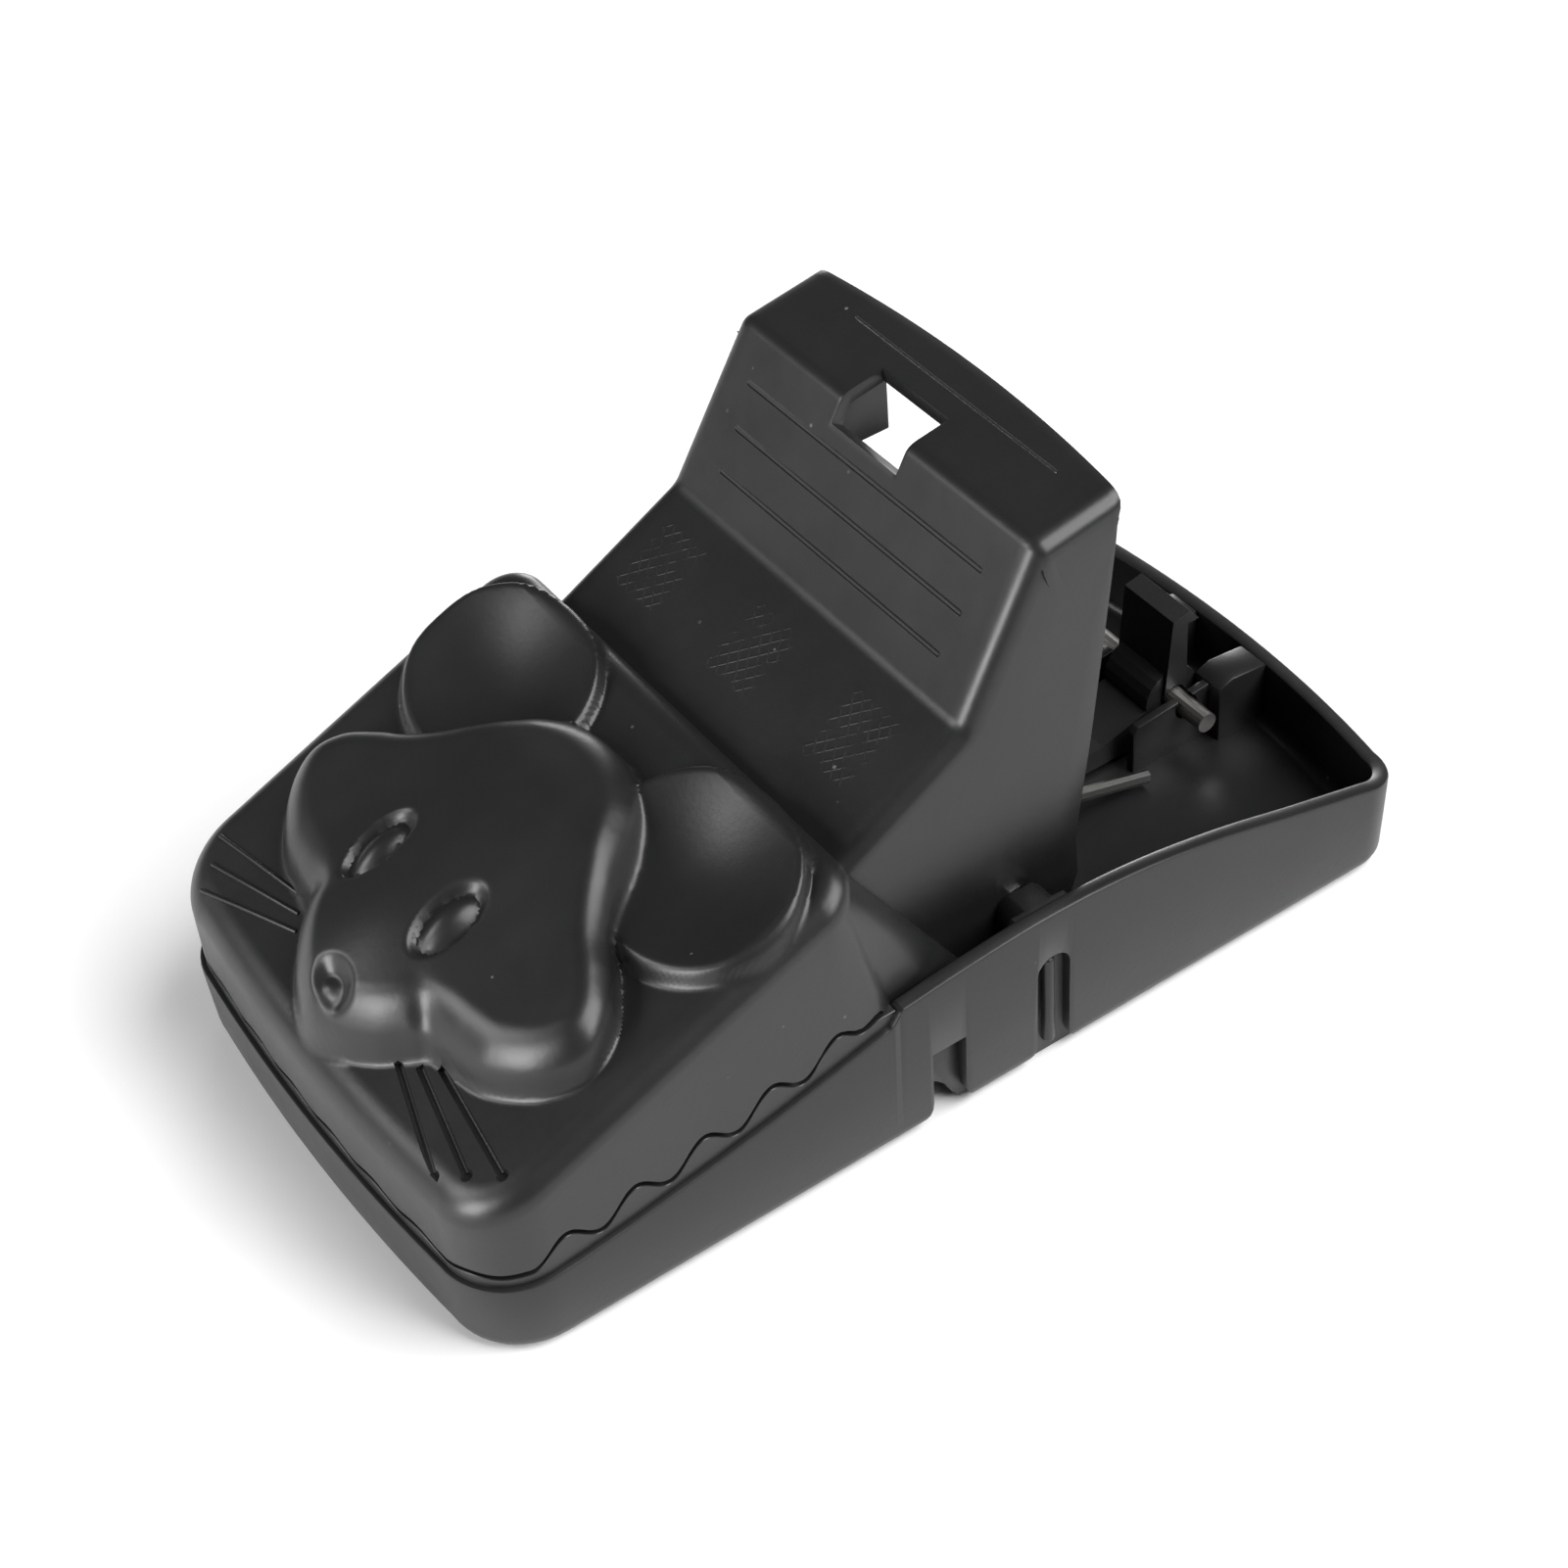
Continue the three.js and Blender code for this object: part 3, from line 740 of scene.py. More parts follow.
@dataclass
class Tray:
    """The base: a shallow tray with a stepped rim, side notches, cheeks and a wavy lip."""

    plan: Plan
    seam: Seam
    wall: float = 1.5
    floor: float = 2.2
    draft: float = 0.3
    notch: tuple[float, float, float, float] = (-5.3, -1.9, 8.7, 2.7)
    cup_y: float = -22.0

    def shell(self) -> bpy.types.Object:
        """The tray's floor and wall in one closed skin."""
        stations = self.plan.stations()

        def ring(inset: float, height: Callable[[float], float]) -> Callable[[int], Vector]:
            """A ring of points at an inset and a height that follows the trap's length."""
            def place(index: int) -> Vector:
                x, y = self.plan.point(stations[index], inset)
                outer_y = self.plan.point(stations[index], 0.0)[1]
                return at(x, y, height(outer_y))
            return place

        def level(z: float) -> Callable[[float], float]:
            """The same height everywhere."""
            return lambda _y: z

        def below_rim(drop: float) -> Callable[[float], float]:
            """So far below the rim."""
            return lambda y: self.seam.rim_height(y) - drop

        radius, inside = 1.8, 1.2
        foot = [(radius * (1 - math.sin(a)) + self.draft, radius * (1 - math.cos(a)))
                for a in turns(15, 1, 6)]
        steps = [ring(inset, level(z)) for inset, z in foot]
        rim = ((0.0, 0.3), (0.08, 0.08), (0.3, 0.0))
        steps += [ring(depth, below_rim(drop)) for depth, drop in rim]
        steps += [ring(self.wall - depth, below_rim(drop)) for depth, drop in reversed(rim)]
        steps += [ring(self.wall + 0.1 + inside * (1 - math.cos(a)),
                       level(self.floor + inside * (1 - math.sin(a)))) for a in turns(18, 0, 5)]
        tray = Bench.loop("tray_shell", len(stations), ring(radius + self.draft, level(0.0)))
        Bench.pull_border(tray, steps)
        Bench.close(tray)
        return tray

    def lip(self) -> bpy.types.Object:
        """The thin wavy lip that stands inside the front part of the rim."""
        stations = self.plan.stations()
        spots = list(enumerate(stations))
        right = next(i for i, (kind, y) in spots if kind == "right" and y > LIP_END)
        left = next(i for i, (kind, y) in spots if kind == "left" and y < LIP_END)
        order = list(range(left, len(stations))) + list(range(right))
        fine = [i / 2 for i in range(2 * len(order) - 1)]

        def spot(position: float, inset: float) -> Point2:
            """A place between two stations of the lip."""
            index = min(int(position), len(order) - 2)
            share = position - index
            a = self.plan.point(stations[order[index]], inset)
            b = self.plan.point(stations[order[index + 1]], inset)
            return mix(a[0], b[0], share), mix(a[1], b[1], share)

        profile = [(0.5, None, 5.0), (0.5, 0.06, 0.0), (0.56, 0.0, 0.0),
                   (1.4, 0.0, 0.0), (1.46, 0.06, 0.0), (1.46, None, 5.0)]

        def place(column: int, row: int) -> Vector:
            """A point of the lip's skin."""
            inset, drop, z = profile[row]
            x, y = spot(fine[column], inset)
            outer = spot(fine[column], 0.5)
            return at(x, y, z if drop is None else self.seam.height(*outer) - drop)

        lip = Bench.grid("tray_lip", len(fine) - 1, len(profile) - 1, place)
        Bench.close(lip)
        return lip

    @staticmethod
    def opening(front: float, rear: float, foot: float, top: list[Point2]) -> list[Point2]:
        """An upright opening's outline, flared round at its foot."""
        flare = [(foot * (1 - math.sin(a)), foot * (1 - math.cos(a))) for a in turns(15, 0, 6)]
        ahead = [(front - out, up) for out, up in flare]
        behind = [(rear + out, up) for out, up in flare]
        return [(front - foot, -1.0), (rear + foot, -1.0), *behind, *top, *reversed(ahead)]

    def notch_back(self) -> bpy.types.Object:
        """The thin plate that closes the notch from inside."""
        outline = [(-6.0, 4.2), (-5.0, 4.1), (-4.2, 3.7), (-3.4, 2.8), (-2.7, 1.4), (-2.0, 0.5),
                   (-1.2, 0.3), (-1.2, 9.9), (-6.0, 9.9)]
        return Bench.plate("notch_back", outline, 23.6, 24.95, 0.1)

    def notch_tool(self, side: int) -> bpy.types.Object:
        """The flared notch that comes up from the underside ahead of the pivot."""
        front, rear, top, foot = self.notch
        outline = self.opening(front, rear, foot, [(rear, top), (front, top)])
        x0, x1 = sorted((side * 19.3, side * 28.0))
        return Bench.plate("notch_tool", outline, x0, x1)

    def slot_tool(self, side: int) -> bpy.types.Object:
        """The round-topped slot below the pivot."""
        half, top = 1.7, 12.4
        arc = [(PIVOT[0] + half * math.cos(a), top - half + half * math.sin(a))
               for a in turns(15, 0, 12)]
        outline = self.opening(PIVOT[0] - half, PIVOT[0] + half, 2.4, arc)
        x0, x1 = sorted((side * 25.1, side * 28.0))
        return Bench.plate("slot_tool", outline, x0, x1)

    def bar(self) -> bpy.types.Object:
        """The half-round bar that stands in the slot."""
        x, y = 25.25, PIVOT[0]
        return Bench.rod("slot_bar", 0.62, (x, y, 1.6), (x, y, 11.6), 24, 0.3)

    def boss(self) -> bpy.types.Object:
        """The axle's boss on the inner face of one wall."""
        boss = Bench.rod("axle_boss", 3.4, (24.0, *PIVOT), (25.4, *PIVOT), 40)
        Bench.combine(boss, Bench.rod("axle_sleeve", 2.4, (21.7, *PIVOT), (24.4, *PIVOT)), "UNION")
        Bench.combine(boss, Bench.block("boss_top", (20, 0, 16.6), (27, 14, 22)))
        Bench.combine(boss, Bench.rod("boss_bore", AXLE_BORE, (20, *PIVOT), (25.6, *PIVOT)))
        Bench.soften(boss, 0.15)
        return boss

    def cheek(self) -> bpy.types.Object:
        """One pin cheek with the bracket that ties it to the rear wall."""
        outline = [(33, 1), (42.4, 1), (42.4, 8.2), (33.6, 7.4), (33, 6.8)]
        cheek = Bench.plate("pin_cheek", outline, 4.2, 5.1, 0.12)
        Bench.combine(cheek, Bench.rod("pin_bore", 1.3, (0, *PIN), (10, *PIN), 24))
        wedge = [(41.8, 1.0), (47.4, 1.0), (47.4, 8.5), (43.4, 8.9), (41.8, 8.3)]
        bracket = Bench.plate("pin_bracket", wedge, 3.1, 6.6, 0.25)
        return Bench.join("pin_cheek", [cheek, bracket])

    def build(self) -> bpy.types.Object:
        """Builds the tray.

        Returns:
            The finished tray piece.
        """
        tray = self.shell()
        for side in (1, -1):
            Bench.combine(tray, self.notch_tool(side))
            Bench.combine(tray, self.slot_tool(side))
        for name, radius, top in (("cup_hole", 7.7, 4), ("cup_seat", 9.5, 1.3)):
            hole = Bench.rod(name, radius, (0, self.cup_y, -1), (0, self.cup_y, top), 64)
            Bench.combine(tray, hole)
        Bench.combine(tray, Bench.block("lug_way", (-2.3, -30.9, -1), (2.3, -13.1, 4)))
        Bench.soften(tray, 0.16)
        parts = [tray, self.lip()]
        for part in (self.bar(), self.boss(), self.cheek(), self.notch_back()):
            parts += [part, Bench.mirrored(part)]
        whole = Bench.join("tray_moulding", parts)
        Bench.smooth(whole)
        return whole


@dataclass(frozen=True)
class MouseRelief:
    """The mouse's head and ears, as a height above the lid's sloping top."""

    outline: tuple[Point2, ...] = (
        (0.0, -47.6), (3.3, -46.8), (6.6, -44.9), (8.8, -42.9), (10.2, -41.7), (12.8, -41.2),
        (16.2, -40.4), (19.7, -38.2), (21.8, -35.5), (22.1, -32.9), (20.7, -30.3), (18.0, -28.2),
        (15.6, -26.8), (13.6, -25.2), (11.6, -23.2), (9.4, -20.6), (7.2, -18.4), (4.0, -16.8),
        (0.0, -16.3))
    ear: tuple[float, float, float, float] = (14.6, -18.8, 10.8, 8.4)
    eye: tuple[float, float, float, float] = (5.5, -35.7, 2.0, 3.4)
    nose: tuple[float, float, float, float] = (1.1, -44.7, 2.5, 1.6)

    @staticmethod
    def gap(x: float, y: float, oval: Sequence[float]) -> float:
        """The signed distance from an oval's outline, below 0 inside it."""
        cx, cy, rx, ry = oval
        px, py = x - cx, y - cy
        k0 = math.hypot(px / rx, py / ry)
        k1 = math.hypot(px / rx ** 2, py / ry ** 2)
        return -min(rx, ry) if k1 < 1e-9 else k0 * (k0 - 1.0) / k1

    @staticmethod
    def radius(x: float, y: float, oval: Sequence[float]) -> float:
        """How far out a place lies in an oval, 1 on its outline."""
        cx, cy, rx, ry = oval
        return math.hypot((x - cx) / rx, (y - cy) / ry)

    @staticmethod
    def hill(x: float, y: float, cx: float, cy: float, sx: float, sy: float) -> float:
        """A soft round hill of height 1."""
        return math.exp(-((x - cx) / sx) ** 2 - ((y - cy) / sy) ** 2)

    @staticmethod
    def curve(a: float, b: float, c: float, d: float, t: float) -> Point2:
        """A coordinate of the smooth curve from b to c at share t, and its rate of change."""
        bend, twist = 2 * a - 5 * b + 4 * c - d, 3 * b - a - 3 * c + d
        return (0.5 * (2 * b + (c - a) * t + bend * t * t + twist * t ** 3),
                0.5 * ((c - a) + 2 * bend * t + 3 * twist * t * t))

    @cached_property
    def edge_line(self) -> list[tuple[Point2, Point2]]:
        """The head's outline on the +X side, as close points with their way along it."""
        points = [(-self.outline[1][0], self.outline[1][1]), *self.outline,
                  (-self.outline[-2][0], self.outline[-2][1])]
        line: list[tuple[Point2, Point2]] = []
        for p0, p1, p2, p3 in zip(points, points[1:], points[2:], points[3:]):
            steps = max(2, round(math.dist(p1, p2) / 0.1))
            for i in range(steps):
                spot, way = zip(*(self.curve(*ends, i / steps) for ends in zip(p0, p1, p2, p3)))
                line.append((spot, way))
        return line

    @cached_property
    def edge_tree(self) -> KDTree:
        """The outline's points, ready to be searched."""
        tree = KDTree(len(self.edge_line))
        for index, (spot, _) in enumerate(self.edge_line):
            tree.insert((*spot, 0.0), index)
        tree.balance()
        return tree

    def depth(self, side: float, y: float) -> float:
        """How far a place lies inside the head's outline, or 0 outside it."""
        _, index, distance = self.edge_tree.find((side, y, 0.0))
        (px, py), (wx, wy) = self.edge_line[index]
        across = wx * (y - py) - wy * (side - px)
        return distance if across > 0.0 else 0.0

    def head(self, x: float, y: float) -> float:
        """The head's height."""
        side = abs(x)
        if side > 22.6 or not -48.0 < y < -16.0:
            return 0.0
        depth = self.depth(side, y)
        if depth <= 0.0:
            return 0.0
        muzzle = self.hill(x, y, 0.0, -44.5, 8.0, 5.5)
        run = 3.4 - 0.4 * muzzle
        edge = (1.0 - (1.0 - min(1.0, depth / run)) ** 2) ** 0.66 * ease(-0.1, 0.8, depth)
        height = (4.2 + 1.9 * self.hill(x, y, 0.0, -39.0, 8.0, 8.5)
                  + self.hill(x, y, 0.0, -27.0, 10.0, 9.0))
        height -= 1.6 * ease(-25.0, -16.5, y)
        crease = 0.8 * self.hill(side - 10.2, y + 41.6 + 0.35 * (side - 10.2), 0.0, 0.0, 2.4, 1.1)
        return edge * height - crease * ease(0.3, 1.6, depth)

    def features(self, x: float, y: float) -> float:
        """The eyes and the nose, on top of the head."""
        eye = self.radius(abs(x + 0.7), y, self.eye)
        made = -0.9 * (1.0 - ease(0.78, 1.12, eye)) + 1.1 * max(0.0, 1.0 - (eye / 0.84) ** 2)
        nose = self.radius(x, y, self.nose)
        made += -1.2 * (1.0 - ease(0.4, 1.1, nose)) + 0.5 * self.hill(x, y, 0.8, -45.4, 1.2, 0.8)
        return made

    def ears(self, x: float, y: float) -> float:
        """The dished ears' height."""
        gap = self.gap(abs(x), y, self.ear)
        if gap >= 0.0:
            return 0.0
        rim = 1.5 * (1.0 - (1.0 - min(1.0, -gap / 1.3)) ** 2) ** 0.72 * ease(-0.1, 0.7, -gap)
        out = self.radius(abs(x), y, self.ear)
        return rim - 2.3 * max(0.0, 1.0 - (out / 0.93) ** 2) ** 1.4

    def height(self, x: float, y: float) -> float:
        """The relief's height at a place of the lid."""
        head, ears = self.head(x, y), self.ears(x, y)
        reach = 0.8
        h = max(reach - abs(head - ears), 0.0) / reach
        meet = head > 0.0 and ears != 0.0
        top = max(head, ears) + h * h * reach * 0.25 if meet else head + ears
        return top + (self.features(x, y) if head > 1.0 else 0.0)


@dataclass
class Lid:
    """The jaw's front box: a sloping top with rounded edges and a skirt down to the seam."""

    seam: Seam
    relief: MouseRelief
    half: float = 25.8
    front: float = -47.6
    rear: float = -9.9
    front_corner: float = 6.4
    rear_corner: float = 4.0
    bow: float = 0.9
    fillet: float = 2.3
    rear_fillet: float = 2.9
    columns: int = 200
    rows: int = 150
    incline: float = 0.636
    gap: float = 0.55
    rear_foot: float = 27.0
    hidden_foot: float = 12.5
    hidden_half: float = 24.4

    def top(self, y: float) -> float:
        """The height of the sloping top."""
        return 16.1 + 0.417 * (y + 48.5)

    def border(self) -> list[tuple[Point2, Point2, float]]:
        """The outline's points in the grid's border order.

        Returns:
            For each, its place, its inward direction and its share of the rear wall, 0 to 1.
        """
        def corner(cx: float, cy: float, radius: float, start: float, end: float,
                   rear: bool) -> list:
            """Points along one corner's arc between two angles in degrees."""
            made = []
            for i in range(25):
                angle = math.radians(mix(start, end, i / 24))
                nx, ny = math.cos(angle), math.sin(angle)
                share = max(0.0, ny) if rear else 0.0
                made.append(((cx + radius * nx, cy + radius * ny), (-nx, -ny), share))
            return made

        fx, fy = self.half - self.front_corner, self.front + self.front_corner
        rx, ry = self.half - self.rear_corner, self.rear - self.rear_corner
        front = []
        for i in range(1, 60):
            t = i / 60
            x = mix(-fx, fx, t)
            slope = -4 * self.bow * (1 - 2 * t) / (2 * fx)
            size = math.hypot(1.0, slope)
            front.append(((x, self.front - 4 * self.bow * t * (1 - t)),
                          (-slope / size, 1.0 / size), 0.0))
        right = [((self.half, mix(fy, ry, i / 80)), (-1.0, 0.0), 0.0) for i in range(1, 80)]
        left = [((-self.half, p[1]), (1.0, 0.0), 0.0) for p, _, _ in reversed(right)]
        back = [((mix(rx, -rx, i / 60), self.rear), (0.0, -1.0), 1.0) for i in range(1, 60)]
        fc, rc = self.front_corner, self.rear_corner
        sides = [
            [*corner(-fx, fy, fc, 225, 270, False), *front, *corner(fx, fy, fc, 270, 315, False)],
            [*corner(fx, fy, fc, 315, 360, False), *right, *corner(rx, ry, rc, 0, 45, True)],
            [*corner(rx, ry, rc, 45, 90, True), *back, *corner(-rx, ry, rc, 90, 135, True)],
            [*corner(-rx, ry, rc, 135, 180, True), *left, *corner(-fx, fy, fc, 180, 225, False)],
        ]
        counts = (self.columns, self.rows, self.columns, self.rows)
        return [point for side, count in zip(sides, counts) for point in self.spaced(side, count)]

    @staticmethod
    def spaced(side: list, count: int) -> list[tuple[Point2, Point2, float]]:
        """Evenly spaced points along a side, without its last one."""
        run = lengths([spot for spot, _, _ in side])
        made, k = [], 0
        for i in range(count):
            goal = run[-1] * i / count
            while run[k + 1] < goal:
                k += 1
            t = (goal - run[k]) / max(run[k + 1] - run[k], 1e-9)
            (a, na, sa), (b, nb, sb) = side[k], side[k + 1]
            nx, ny = mix(na[0], nb[0], t), mix(na[1], nb[1], t)
            size = math.hypot(nx, ny)
            spot = (mix(a[0], b[0], t), mix(a[1], b[1], t))
            made.append((spot, (nx / size, ny / size), mix(sa, sb, t)))
        return made

    def number(self, index: int) -> int | None:
        """A border point's place in the border's order, from its grid number."""
        row, column = divmod(index, self.columns + 1)
        if row == 0:
            return column
        if column == self.columns:
            return self.columns + row
        if row == self.rows:
            return self.columns + self.rows + (self.columns - column)
        if column == 0:
            return 2 * self.columns + self.rows + (self.rows - row)
        return None

    def build(self) -> bpy.types.Object:
        """Builds the lid's shell.

        Returns:
            The closed shell with its wall thickness.
        """
        border = self.border()
        count = len(border)

        def rounding(k: int) -> float:
            """The top edge's radius at a border point."""
            return mix(self.fillet, self.rear_fillet, border[k][2])

        def inset(k: int, distance: float) -> Point2:
            """A border point moved inwards."""
            (x, y), (nx, ny), _ = border[k]
            return x + nx * distance, y + ny * distance

        inner = [inset(k, rounding(k)) for k in range(count)]

        def coons(column: int, row: int) -> Vector:
            """A point of the top, spread between the four sides."""
            u, v = column / self.columns, row / self.rows
            c, r = self.columns, self.rows
            front, back = inner[column % count], inner[(2 * c + r - column) % count]
            right, left = inner[c + row], inner[(2 * c + 2 * r - row) % count]
            p00, p10, p11, p01 = inner[0], inner[c], inner[c + r], inner[2 * c + r]
            x, y = (
                (1 - v) * front[i] + v * back[i] + (1 - u) * left[i] + u * right[i]
                - (1 - u) * (1 - v) * p00[i] - u * (1 - v) * p10[i]
                - u * v * p11[i] - (1 - u) * v * p01[i]
                for i in (0, 1))
            return at(x, y, self.top(y) + self.relief.height(x, y))

        def edge(angle: float) -> Callable[[int], Vector]:
            """The ring of the rounded top edge at an angle in degrees."""
            def place(index: int) -> Vector:
                k = self.number(index)
                radius = rounding(k)
                a = math.radians(angle)
                x, y = inset(k, radius * (1.0 - math.sin(a)))
                lift = self.relief.height(x, y) * math.cos(a) ** 0.5 if angle < 90 else 0.0
                return at(x, y, self.top(y) - radius * (1.0 - math.cos(a)) + lift)
            return place

        def wall(share: float) -> Callable[[int], Vector]:
            """The ring so far down the skirt."""
            def place(index: int) -> Vector:
                k = self.number(index)
                (x, y), _, rear = border[k]
                high = self.top(y) - rounding(k)
                low, foot_x, foot_y = self.foot(x, y, rear, high)
                return at(mix(x, foot_x, share), mix(y, foot_y, share), mix(high, low, share))
            return place

        lid = Bench.grid("lid_shell", self.columns, self.rows, coons)
        steps = [edge(7.5 * i) for i in range(1, 13)] + [wall(i / 5) for i in range(1, 6)]
        Bench.pull_border(lid, steps)
        Bench.merge(lid)
        Bench.modify(lid, "SOLIDIFY", thickness=1.3 * MM, offset=-1.0, use_even_offset=False)
        return lid

    def foot(self, x: float, y: float, rear: float, high: float) -> tuple[float, float, float]:
        """Where the skirt ends below an outline point.

        Args:
            x: The outline point's place across.
            y: Its place along.
            rear: How far it belongs to the sloping rear wall.
            high: The height that the wall starts from.

        Returns:
            The foot's height, and its place across and along.
        """
        if rear <= 0.0 and y < -15.0:
            return self.seam.height(x, y) + self.gap, x, y
        if abs(x) < 20.0 and rear > 0.5:
            return self.rear_foot, x, y + self.incline * (high - self.rear_foot)
        slope = self.incline * rear
        meets = y + slope * (high - 16.0)
        past = ease(-9.3, -8.3, meets)
        low = mix(self.seam.height(x, meets) + self.gap, self.hidden_foot, past)
        side = math.copysign(min(abs(x), mix(self.half, self.hidden_half, past)), x)
        return low, side, y + slope * (high - low)


@dataclass
class Handle:
    """The jaw's saddle and push handle: one bent sheet with side walls and an open back."""

    thickness: float = 1.25
    edge: float = 1.75
    fold: Point2 = (2.9, 35.57)
    crease: Point2 = (10.9, 49.4)
    rear: Point2 = (18.8, 50.7)
    bow: float = 1.4
    corner: float = 0.6
    tallest: float = 50.93
    start: Point2 = (-13.5, 26.39)
    columns: int = 60

    def half(self, z: float) -> float:
        """The handle's half width at a height."""
        return 21.3 - 0.0428 * max(0.0, z - 28.35)

    @staticmethod
    def rounded(before: Point2, corner: Point2, after: Point2, radius: float,
                steps: int) -> list[Point2]:
        """Points of the arc that rounds a corner between two straight runs."""
        a, b, c = (Vector(p) for p in (before, corner, after))
        u, w = (a - b).normalized(), (c - b).normalized()
        half_angle = u.angle(w) / 2
        reach = radius / math.tan(half_angle)
        middle = b + (u + w).normalized() * (radius / math.sin(half_angle))
        p, q = b + u * reach - middle, b + w * reach - middle
        turn = p.angle(q)
        made = []
        for i in range(steps + 1):
            t = i / steps
            v = (p * math.sin((1 - t) * turn) + q * math.sin(t * turn)) / math.sin(turn)
            made.append(tuple(middle + v))
        return made

    def path(self) -> list[Point2]:
        """The sheet's side profile from the lid to the rear edge."""
        first = self.rounded(self.start, self.fold, self.crease, 2.2, 7)
        second = self.rounded(self.fold, self.crease, self.rear, 1.6, 8)

        def run(a: Point2, b: Point2, count: int) -> list[Point2]:
            """Points between two places, without the first and the last."""
            shares = [i / count for i in range(1, count)]
            return [(mix(a[0], b[0], t), mix(a[1], b[1], t)) for t in shares]

        return [self.start, *run(self.start, first[0], 14), *first,
                *run(first[-1], second[0], 12), *second,
                *run(second[-1], self.rear, 10), self.rear]

    def foot(self, share: float) -> Point2:
        """A place on the side wall's rear and lower edge, from 0 under the lid to 1 at the top."""
        edge = [(-13.5, 15.5), (-9.8, 14.6), (-5.0, 11.5), (2.6, 9.4), (7.2, 8.1), (11.8, 9.8),
                (13.6, 14.0), (13.4, 18.5), (14.9, 28.0), (16.3, 36.0), (17.5, 43.0),
                (18.1, 46.8), (18.25, 48.1)]
        run = lengths(edge)
        goal = share * run[-1]
        k = next((i for i in range(len(edge) - 1) if goal <= run[i + 1]), len(edge) - 2)
        t = (goal - run[k]) / (run[k + 1] - run[k])
        return mix(edge[k][0], edge[k + 1][0], t), mix(edge[k][1], edge[k + 1][1], t)

    def build(self) -> bpy.types.Object:
        """Builds the handle.

        Returns:
            The closed shell with its window cut out.
        """
        path = self.path()
        normals = []
        for i in range(len(path)):
            a, b = path[max(i - 1, 0)], path[min(i + 1, len(path) - 1)]
            size = math.dist(a, b)
            normals.append((-(b[1] - a[1]) / size, (b[0] - a[0]) / size))
        run = lengths(path)

        def bowed(y: float, z: float, x: float) -> tuple[float, float]:
            """A place of the top pushed out to the bowed rear edge."""
            if y <= self.crease[0]:
                return y, z
            half = self.half(z)
            corner = max(0.0, abs(x) - (half - self.corner))
            trim = self.corner - math.sqrt(max(0.0, self.corner ** 2 - corner ** 2))
            end = self.rear[0] + self.bow * (1 - (x / half) ** 2) - trim
            share = (y - self.crease[0]) / (self.rear[0] - self.crease[0])
            moved = mix(self.crease[0], end, share)
            slope = (self.rear[1] - self.crease[1]) / (self.rear[0] - self.crease[0])
            return moved, min(z + slope * (moved - y), self.tallest)

        def sheet(column: int, row: int) -> Vector:
            """A point of the sheet's top."""
            y, z = path[row]
            x = (2 * column / self.columns - 1) * (self.half(z) - self.edge)
            y, z = bowed(y, z, x)
            return at(x, y, z)

        def side_of(index: int) -> tuple[int, int]:
            """The row and the side, -1 or 1, of a border point."""
            row, column = divmod(index, self.columns + 1)
            return row, (1 if column > self.columns // 2 else -1)

        def rounding(angle: float) -> Callable[[int], Vector]:
            """The ring of the rounded side edge at an angle in degrees."""
            def place(index: int) -> Vector:
                row, side = side_of(index)
                (y, z), (ny, nz) = path[row], normals[row]
                a = math.radians(angle)
                x = self.half(z) - self.edge * (1 - math.sin(a))
                drop = self.edge * (1 - math.cos(a))
                yy, zz = bowed(y, z, x)
                return at(side * x, yy - ny * drop, zz - nz * drop)
            return place

        def wall(share: float) -> Callable[[int], Vector]:
            """The ring so far towards the side wall's rear and lower edge."""
            def place(index: int) -> Vector:
                row, side = side_of(index)
                start = rounding(90)(index) / MM
                y, z = self.foot(run[row] / run[-1])
                yy, zz = mix(start.y, y, share), mix(start.z, z, share)
                return at(side * self.half(zz), yy, zz)
            return place

        def on_side(a: int, b: int) -> bool:
            """Whether a border edge runs along one of the two sides."""
            width = self.columns + 1
            return a % width == b % width and a % width in (0, self.columns)

        shell = Bench.grid("handle_shell", self.columns, len(path) - 1, sheet)
        steps = [rounding(a) for a in (18, 36, 54, 72, 90)] + [wall(i / 4) for i in range(1, 5)]
        Bench.pull_border(shell, steps, on_side)
        Bench.merge(shell)
        Bench.modify(shell, "SOLIDIFY", thickness=self.thickness * MM, offset=-1.0,
                     use_even_offset=False)
        Bench.combine(shell, self.window_tool())
        Bench.combine(shell, Bench.rod("axle_bore", AXLE_BORE, (-30, *PIVOT), (30, *PIVOT)))
        Bench.soften(shell, 0.18, 2, 55.0)
        return shell

    def window_tool(self) -> bpy.types.Object:
        """The window through the top and the front face."""
        outline = [(15.0, 40.0), (15.0, 54.0), (6.0, 54.0), (6.0, 48.6), (9.7, 47.1), (13.0, 45.0)]
        return Bench.plate("window_tool", outline, -5.3, 3.5)

    def guide(self) -> bpy.types.Object:
        """The wall that hangs down beside the window and guides the pedal's hook."""
        outline = [(8.9, 43.9), (15.3, 43.9), (15.3, 49.3), (11.4, 49.0)]
        return Bench.plate("window_guide", outline, -6.5, -5.35, 0.1)


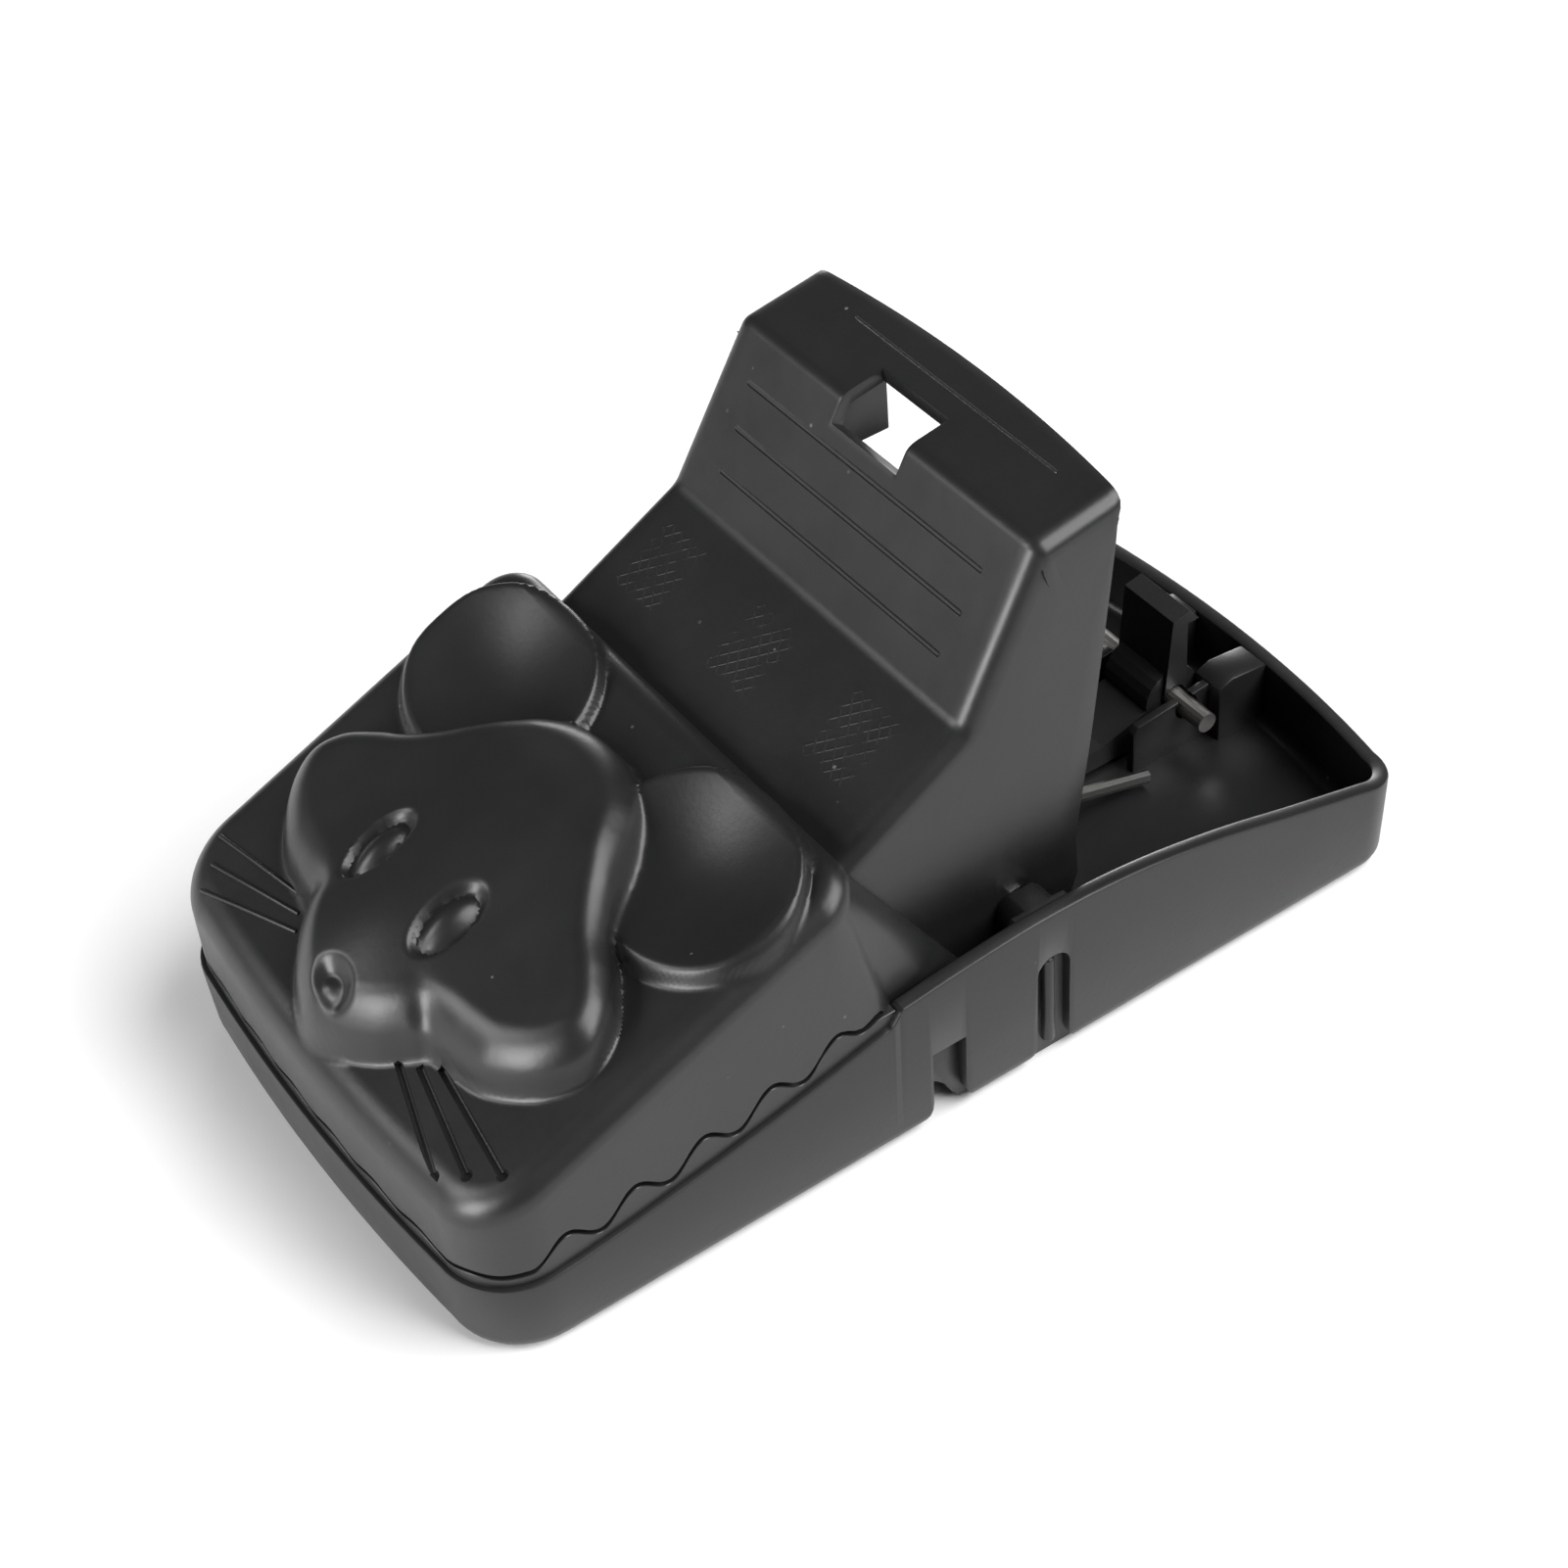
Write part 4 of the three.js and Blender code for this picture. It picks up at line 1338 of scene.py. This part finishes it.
@dataclass
class Jaw:
    """The upper jaw: the lid with its mouse relief, and the handle."""

    lid: Lid
    handle: Handle
    whiskers: tuple[tuple[Point2, Point2], ...] = (
        ((-9.6, -42.9), (-20.4, -46.4)), ((-10.9, -41.9), (-21.8, -44.5)),
        ((-12.4, -40.9), (-23.6, -42.6)))
    grooves: tuple[tuple[Point2, Point2], ...] = (
        ((7.9, -43.4), (18.4, -46.6)), ((9.6, -42.4), (20.6, -44.8)),
        ((11.2, -41.3), (22.9, -42.9)))
    sink: float = 0.02

    def on_lid(self, spot: Point2, sink: float = 0.0) -> Point3:
        """A place on the lid's top, or so far below it."""
        return *spot, self.lid.top(spot[1]) - sink

    def groove(self, lid: bpy.types.Object, start: Point2, end: Point2) -> None:
        """Cuts one engraved whisker with its end dot into the lid."""
        a, (x, y, z) = self.on_lid(start, self.sink), self.on_lid(end, self.sink)
        Bench.combine(lid, Bench.rod("whisker_cut", 0.36, a, (x, y, z), 12))
        Bench.combine(lid, Bench.rod("whisker_dot", 0.5, (x, y, z - 0.35), (x, y, z + 1.0), 20))

    def whisker(self, start: Point2, end: Point2) -> bpy.types.Object:
        """One raised whisker lying on the lid's top."""
        return Bench.rod("whisker", 0.2, self.on_lid(start), self.on_lid(end), 10, 0.06)

    def build(self) -> bpy.types.Object:
        """Builds the jaw.

        Returns:
            The finished jaw piece.
        """
        lid = self.lid.build()
        for start, end in self.grooves:
            self.groove(lid, start, end)
        parts = [lid, self.handle.build(), self.handle.guide()]
        parts += [self.whisker(start, end) for start, end in self.whiskers]
        jaw = Bench.join("jaw_moulding", parts)
        Bench.smooth(jaw, 40.0)
        return jaw


@dataclass
class Studio:
    """The camera, the pale floor and the soft lights."""

    place: Vector = field(default_factory=lambda: at(169.324, -104.756, 203.247))
    right: Point3 = (0.57142, 0.81813, -0.06434)
    up: Point3 = (-0.53474, 0.43066, 0.72704)
    back: Point3 = (0.62253, -0.38104, 0.68357)
    lens: float = 73.594
    lights: tuple[tuple[str, Point3, float, float, float], ...] = (
        ("overhead", (0.75, 0.70, 1.25), 0.0, 1.3, 38.0),
        ("right", (0.95, 0.40, 0.62), 0.02, 0.35, 2.2),
        ("back_left", (-1.0, 0.75, 0.14), 0.0, 0.4, 5.0),
        ("front_left", (-0.42, -0.80, 0.52), 0.02, 0.4, 3.5),
        ("front", (0.05, -1.0, 0.27), 0.02, 0.4, 8.0))
    ambience: float = 0.06

    def camera(self) -> None:
        """Adds the camera."""
        data = bpy.data.cameras.new("camera")
        data.lens = self.lens
        data.sensor_width = 36.0
        data.clip_start = 0.01
        data.clip_end = 20.0
        camera = bpy.data.objects.new("camera", data)
        bpy.context.scene.collection.objects.link(camera)
        axes = Matrix((self.right, self.up, self.back)).transposed()
        camera.matrix_world = Matrix.Translation(self.place) @ axes.to_4x4()
        bpy.context.scene.camera = camera

    def light(self, name: str, place: Point3, aim: float, size: float, power: float) -> None:
        """Adds a square soft light, in metres, aimed at a height over the origin."""
        data = bpy.data.lights.new(name, "AREA")
        data.shape = "SQUARE"
        data.size = size
        data.energy = power
        lamp = bpy.data.objects.new(name, data)
        bpy.context.scene.collection.objects.link(lamp)
        lamp.location = place
        way = Vector((0.0, 0.0, aim)) - Vector(place)
        lamp.rotation_euler = way.to_track_quat("-Z", "Y").to_euler()

    def floor(self) -> None:
        """Adds the floor."""
        Bench.clear()
        bpy.ops.mesh.primitive_plane_add(size=6.0, location=(0.0, 0.0, 0.0))
        floor = bpy.context.object
        floor.name = "floor"
        sheet = Sheet("pale_floor")
        tone = sheet.tint(sheet.noise(400.0), (0.88, 0.88, 0.88), (0.92, 0.92, 0.92))
        floor.data.materials.append(sheet.finish({"Base Color": tone, "Roughness": 0.9}))

    def build(self) -> None:
        """Builds the studio."""
        self.camera()
        self.floor()
        for lamp in self.lights:
            self.light(*lamp)
        world = bpy.data.worlds.new("studio")
        world.use_nodes = True
        backdrop = world.node_tree.nodes["Background"]
        backdrop.inputs[0].default_value = (1.0, 1.0, 1.0, 1.0)
        backdrop.inputs[1].default_value = self.ambience
        bpy.context.scene.world = world
        bpy.context.scene.view_settings.view_transform = "Standard"


@dataclass
class Trap:
    """The whole trap: the moulded pieces built here, and the small parts in their finishes."""

    plan: Plan = field(default_factory=Plan)
    seam: Seam = field(default_factory=Seam)

    def dress(self, node: str, material: bpy.types.Material) -> None:
        """Gives a carried-over part its finish."""
        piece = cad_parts[node]
        piece.data.materials.clear()
        piece.data.materials.append(material)

    def add(self, piece: bpy.types.Object, body: Body, node: str, slot: str,
            material: bpy.types.Material) -> None:
        """Puts a finished piece on its body in a part's stead."""
        piece.data.materials.clear()
        piece.data.materials.append(material)
        if STATION in piece.data.attributes:
            piece.data.attributes.remove(piece.data.attributes[STATION])
        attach(piece, body.value)
        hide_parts(node)
        log.info("%s: %d faces, rides on %s", piece.name, len(piece.data.polygons), body.value)

    def build(self) -> None:
        """Builds and dresses every part."""
        black = MouldedPlastic("black_plastic")
        tray = Tray(self.plan, self.seam).build()
        self.add(tray, Body.TRAY, "base_tray", "black_plastic", black.material())
        jaw = Jaw(Lid(self.seam, MouseRelief()), Handle()).build()
        self.add(jaw, Body.JAW, "upper_jaw", "black_plastic", JawPlastic("jaw_plastic").material())
        pedal = MouldedPlastic(
            "pedal_plastic", roughness=0.46, dark=(0.013, 0.013, 0.014), grain=0.02)
        wire = DrawnSteel(
            "spring_wire", (0.16, 0.16, 0.155), (0.07, 0.068, 0.065), 0.36, (1.0, 0.3, 0.3))
        for finish, nodes in ((pedal, ("trigger_pedal", "bait_cup")),
                              (DrawnSteel("bright_steel"), ("jaw_axle", "trigger_pin")),
                              (wire, ("right_jaw_spring", "left_jaw_spring"))):
            material = finish.material()
            for node in nodes:
                self.dress(node, material)


def main() -> None:
    """Builds the studio and the trap."""
    logging.basicConfig(level=logging.INFO, format="%(message)s")
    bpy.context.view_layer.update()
    Studio().build()
    Trap().build()


if __name__ == "__main__":
    main()
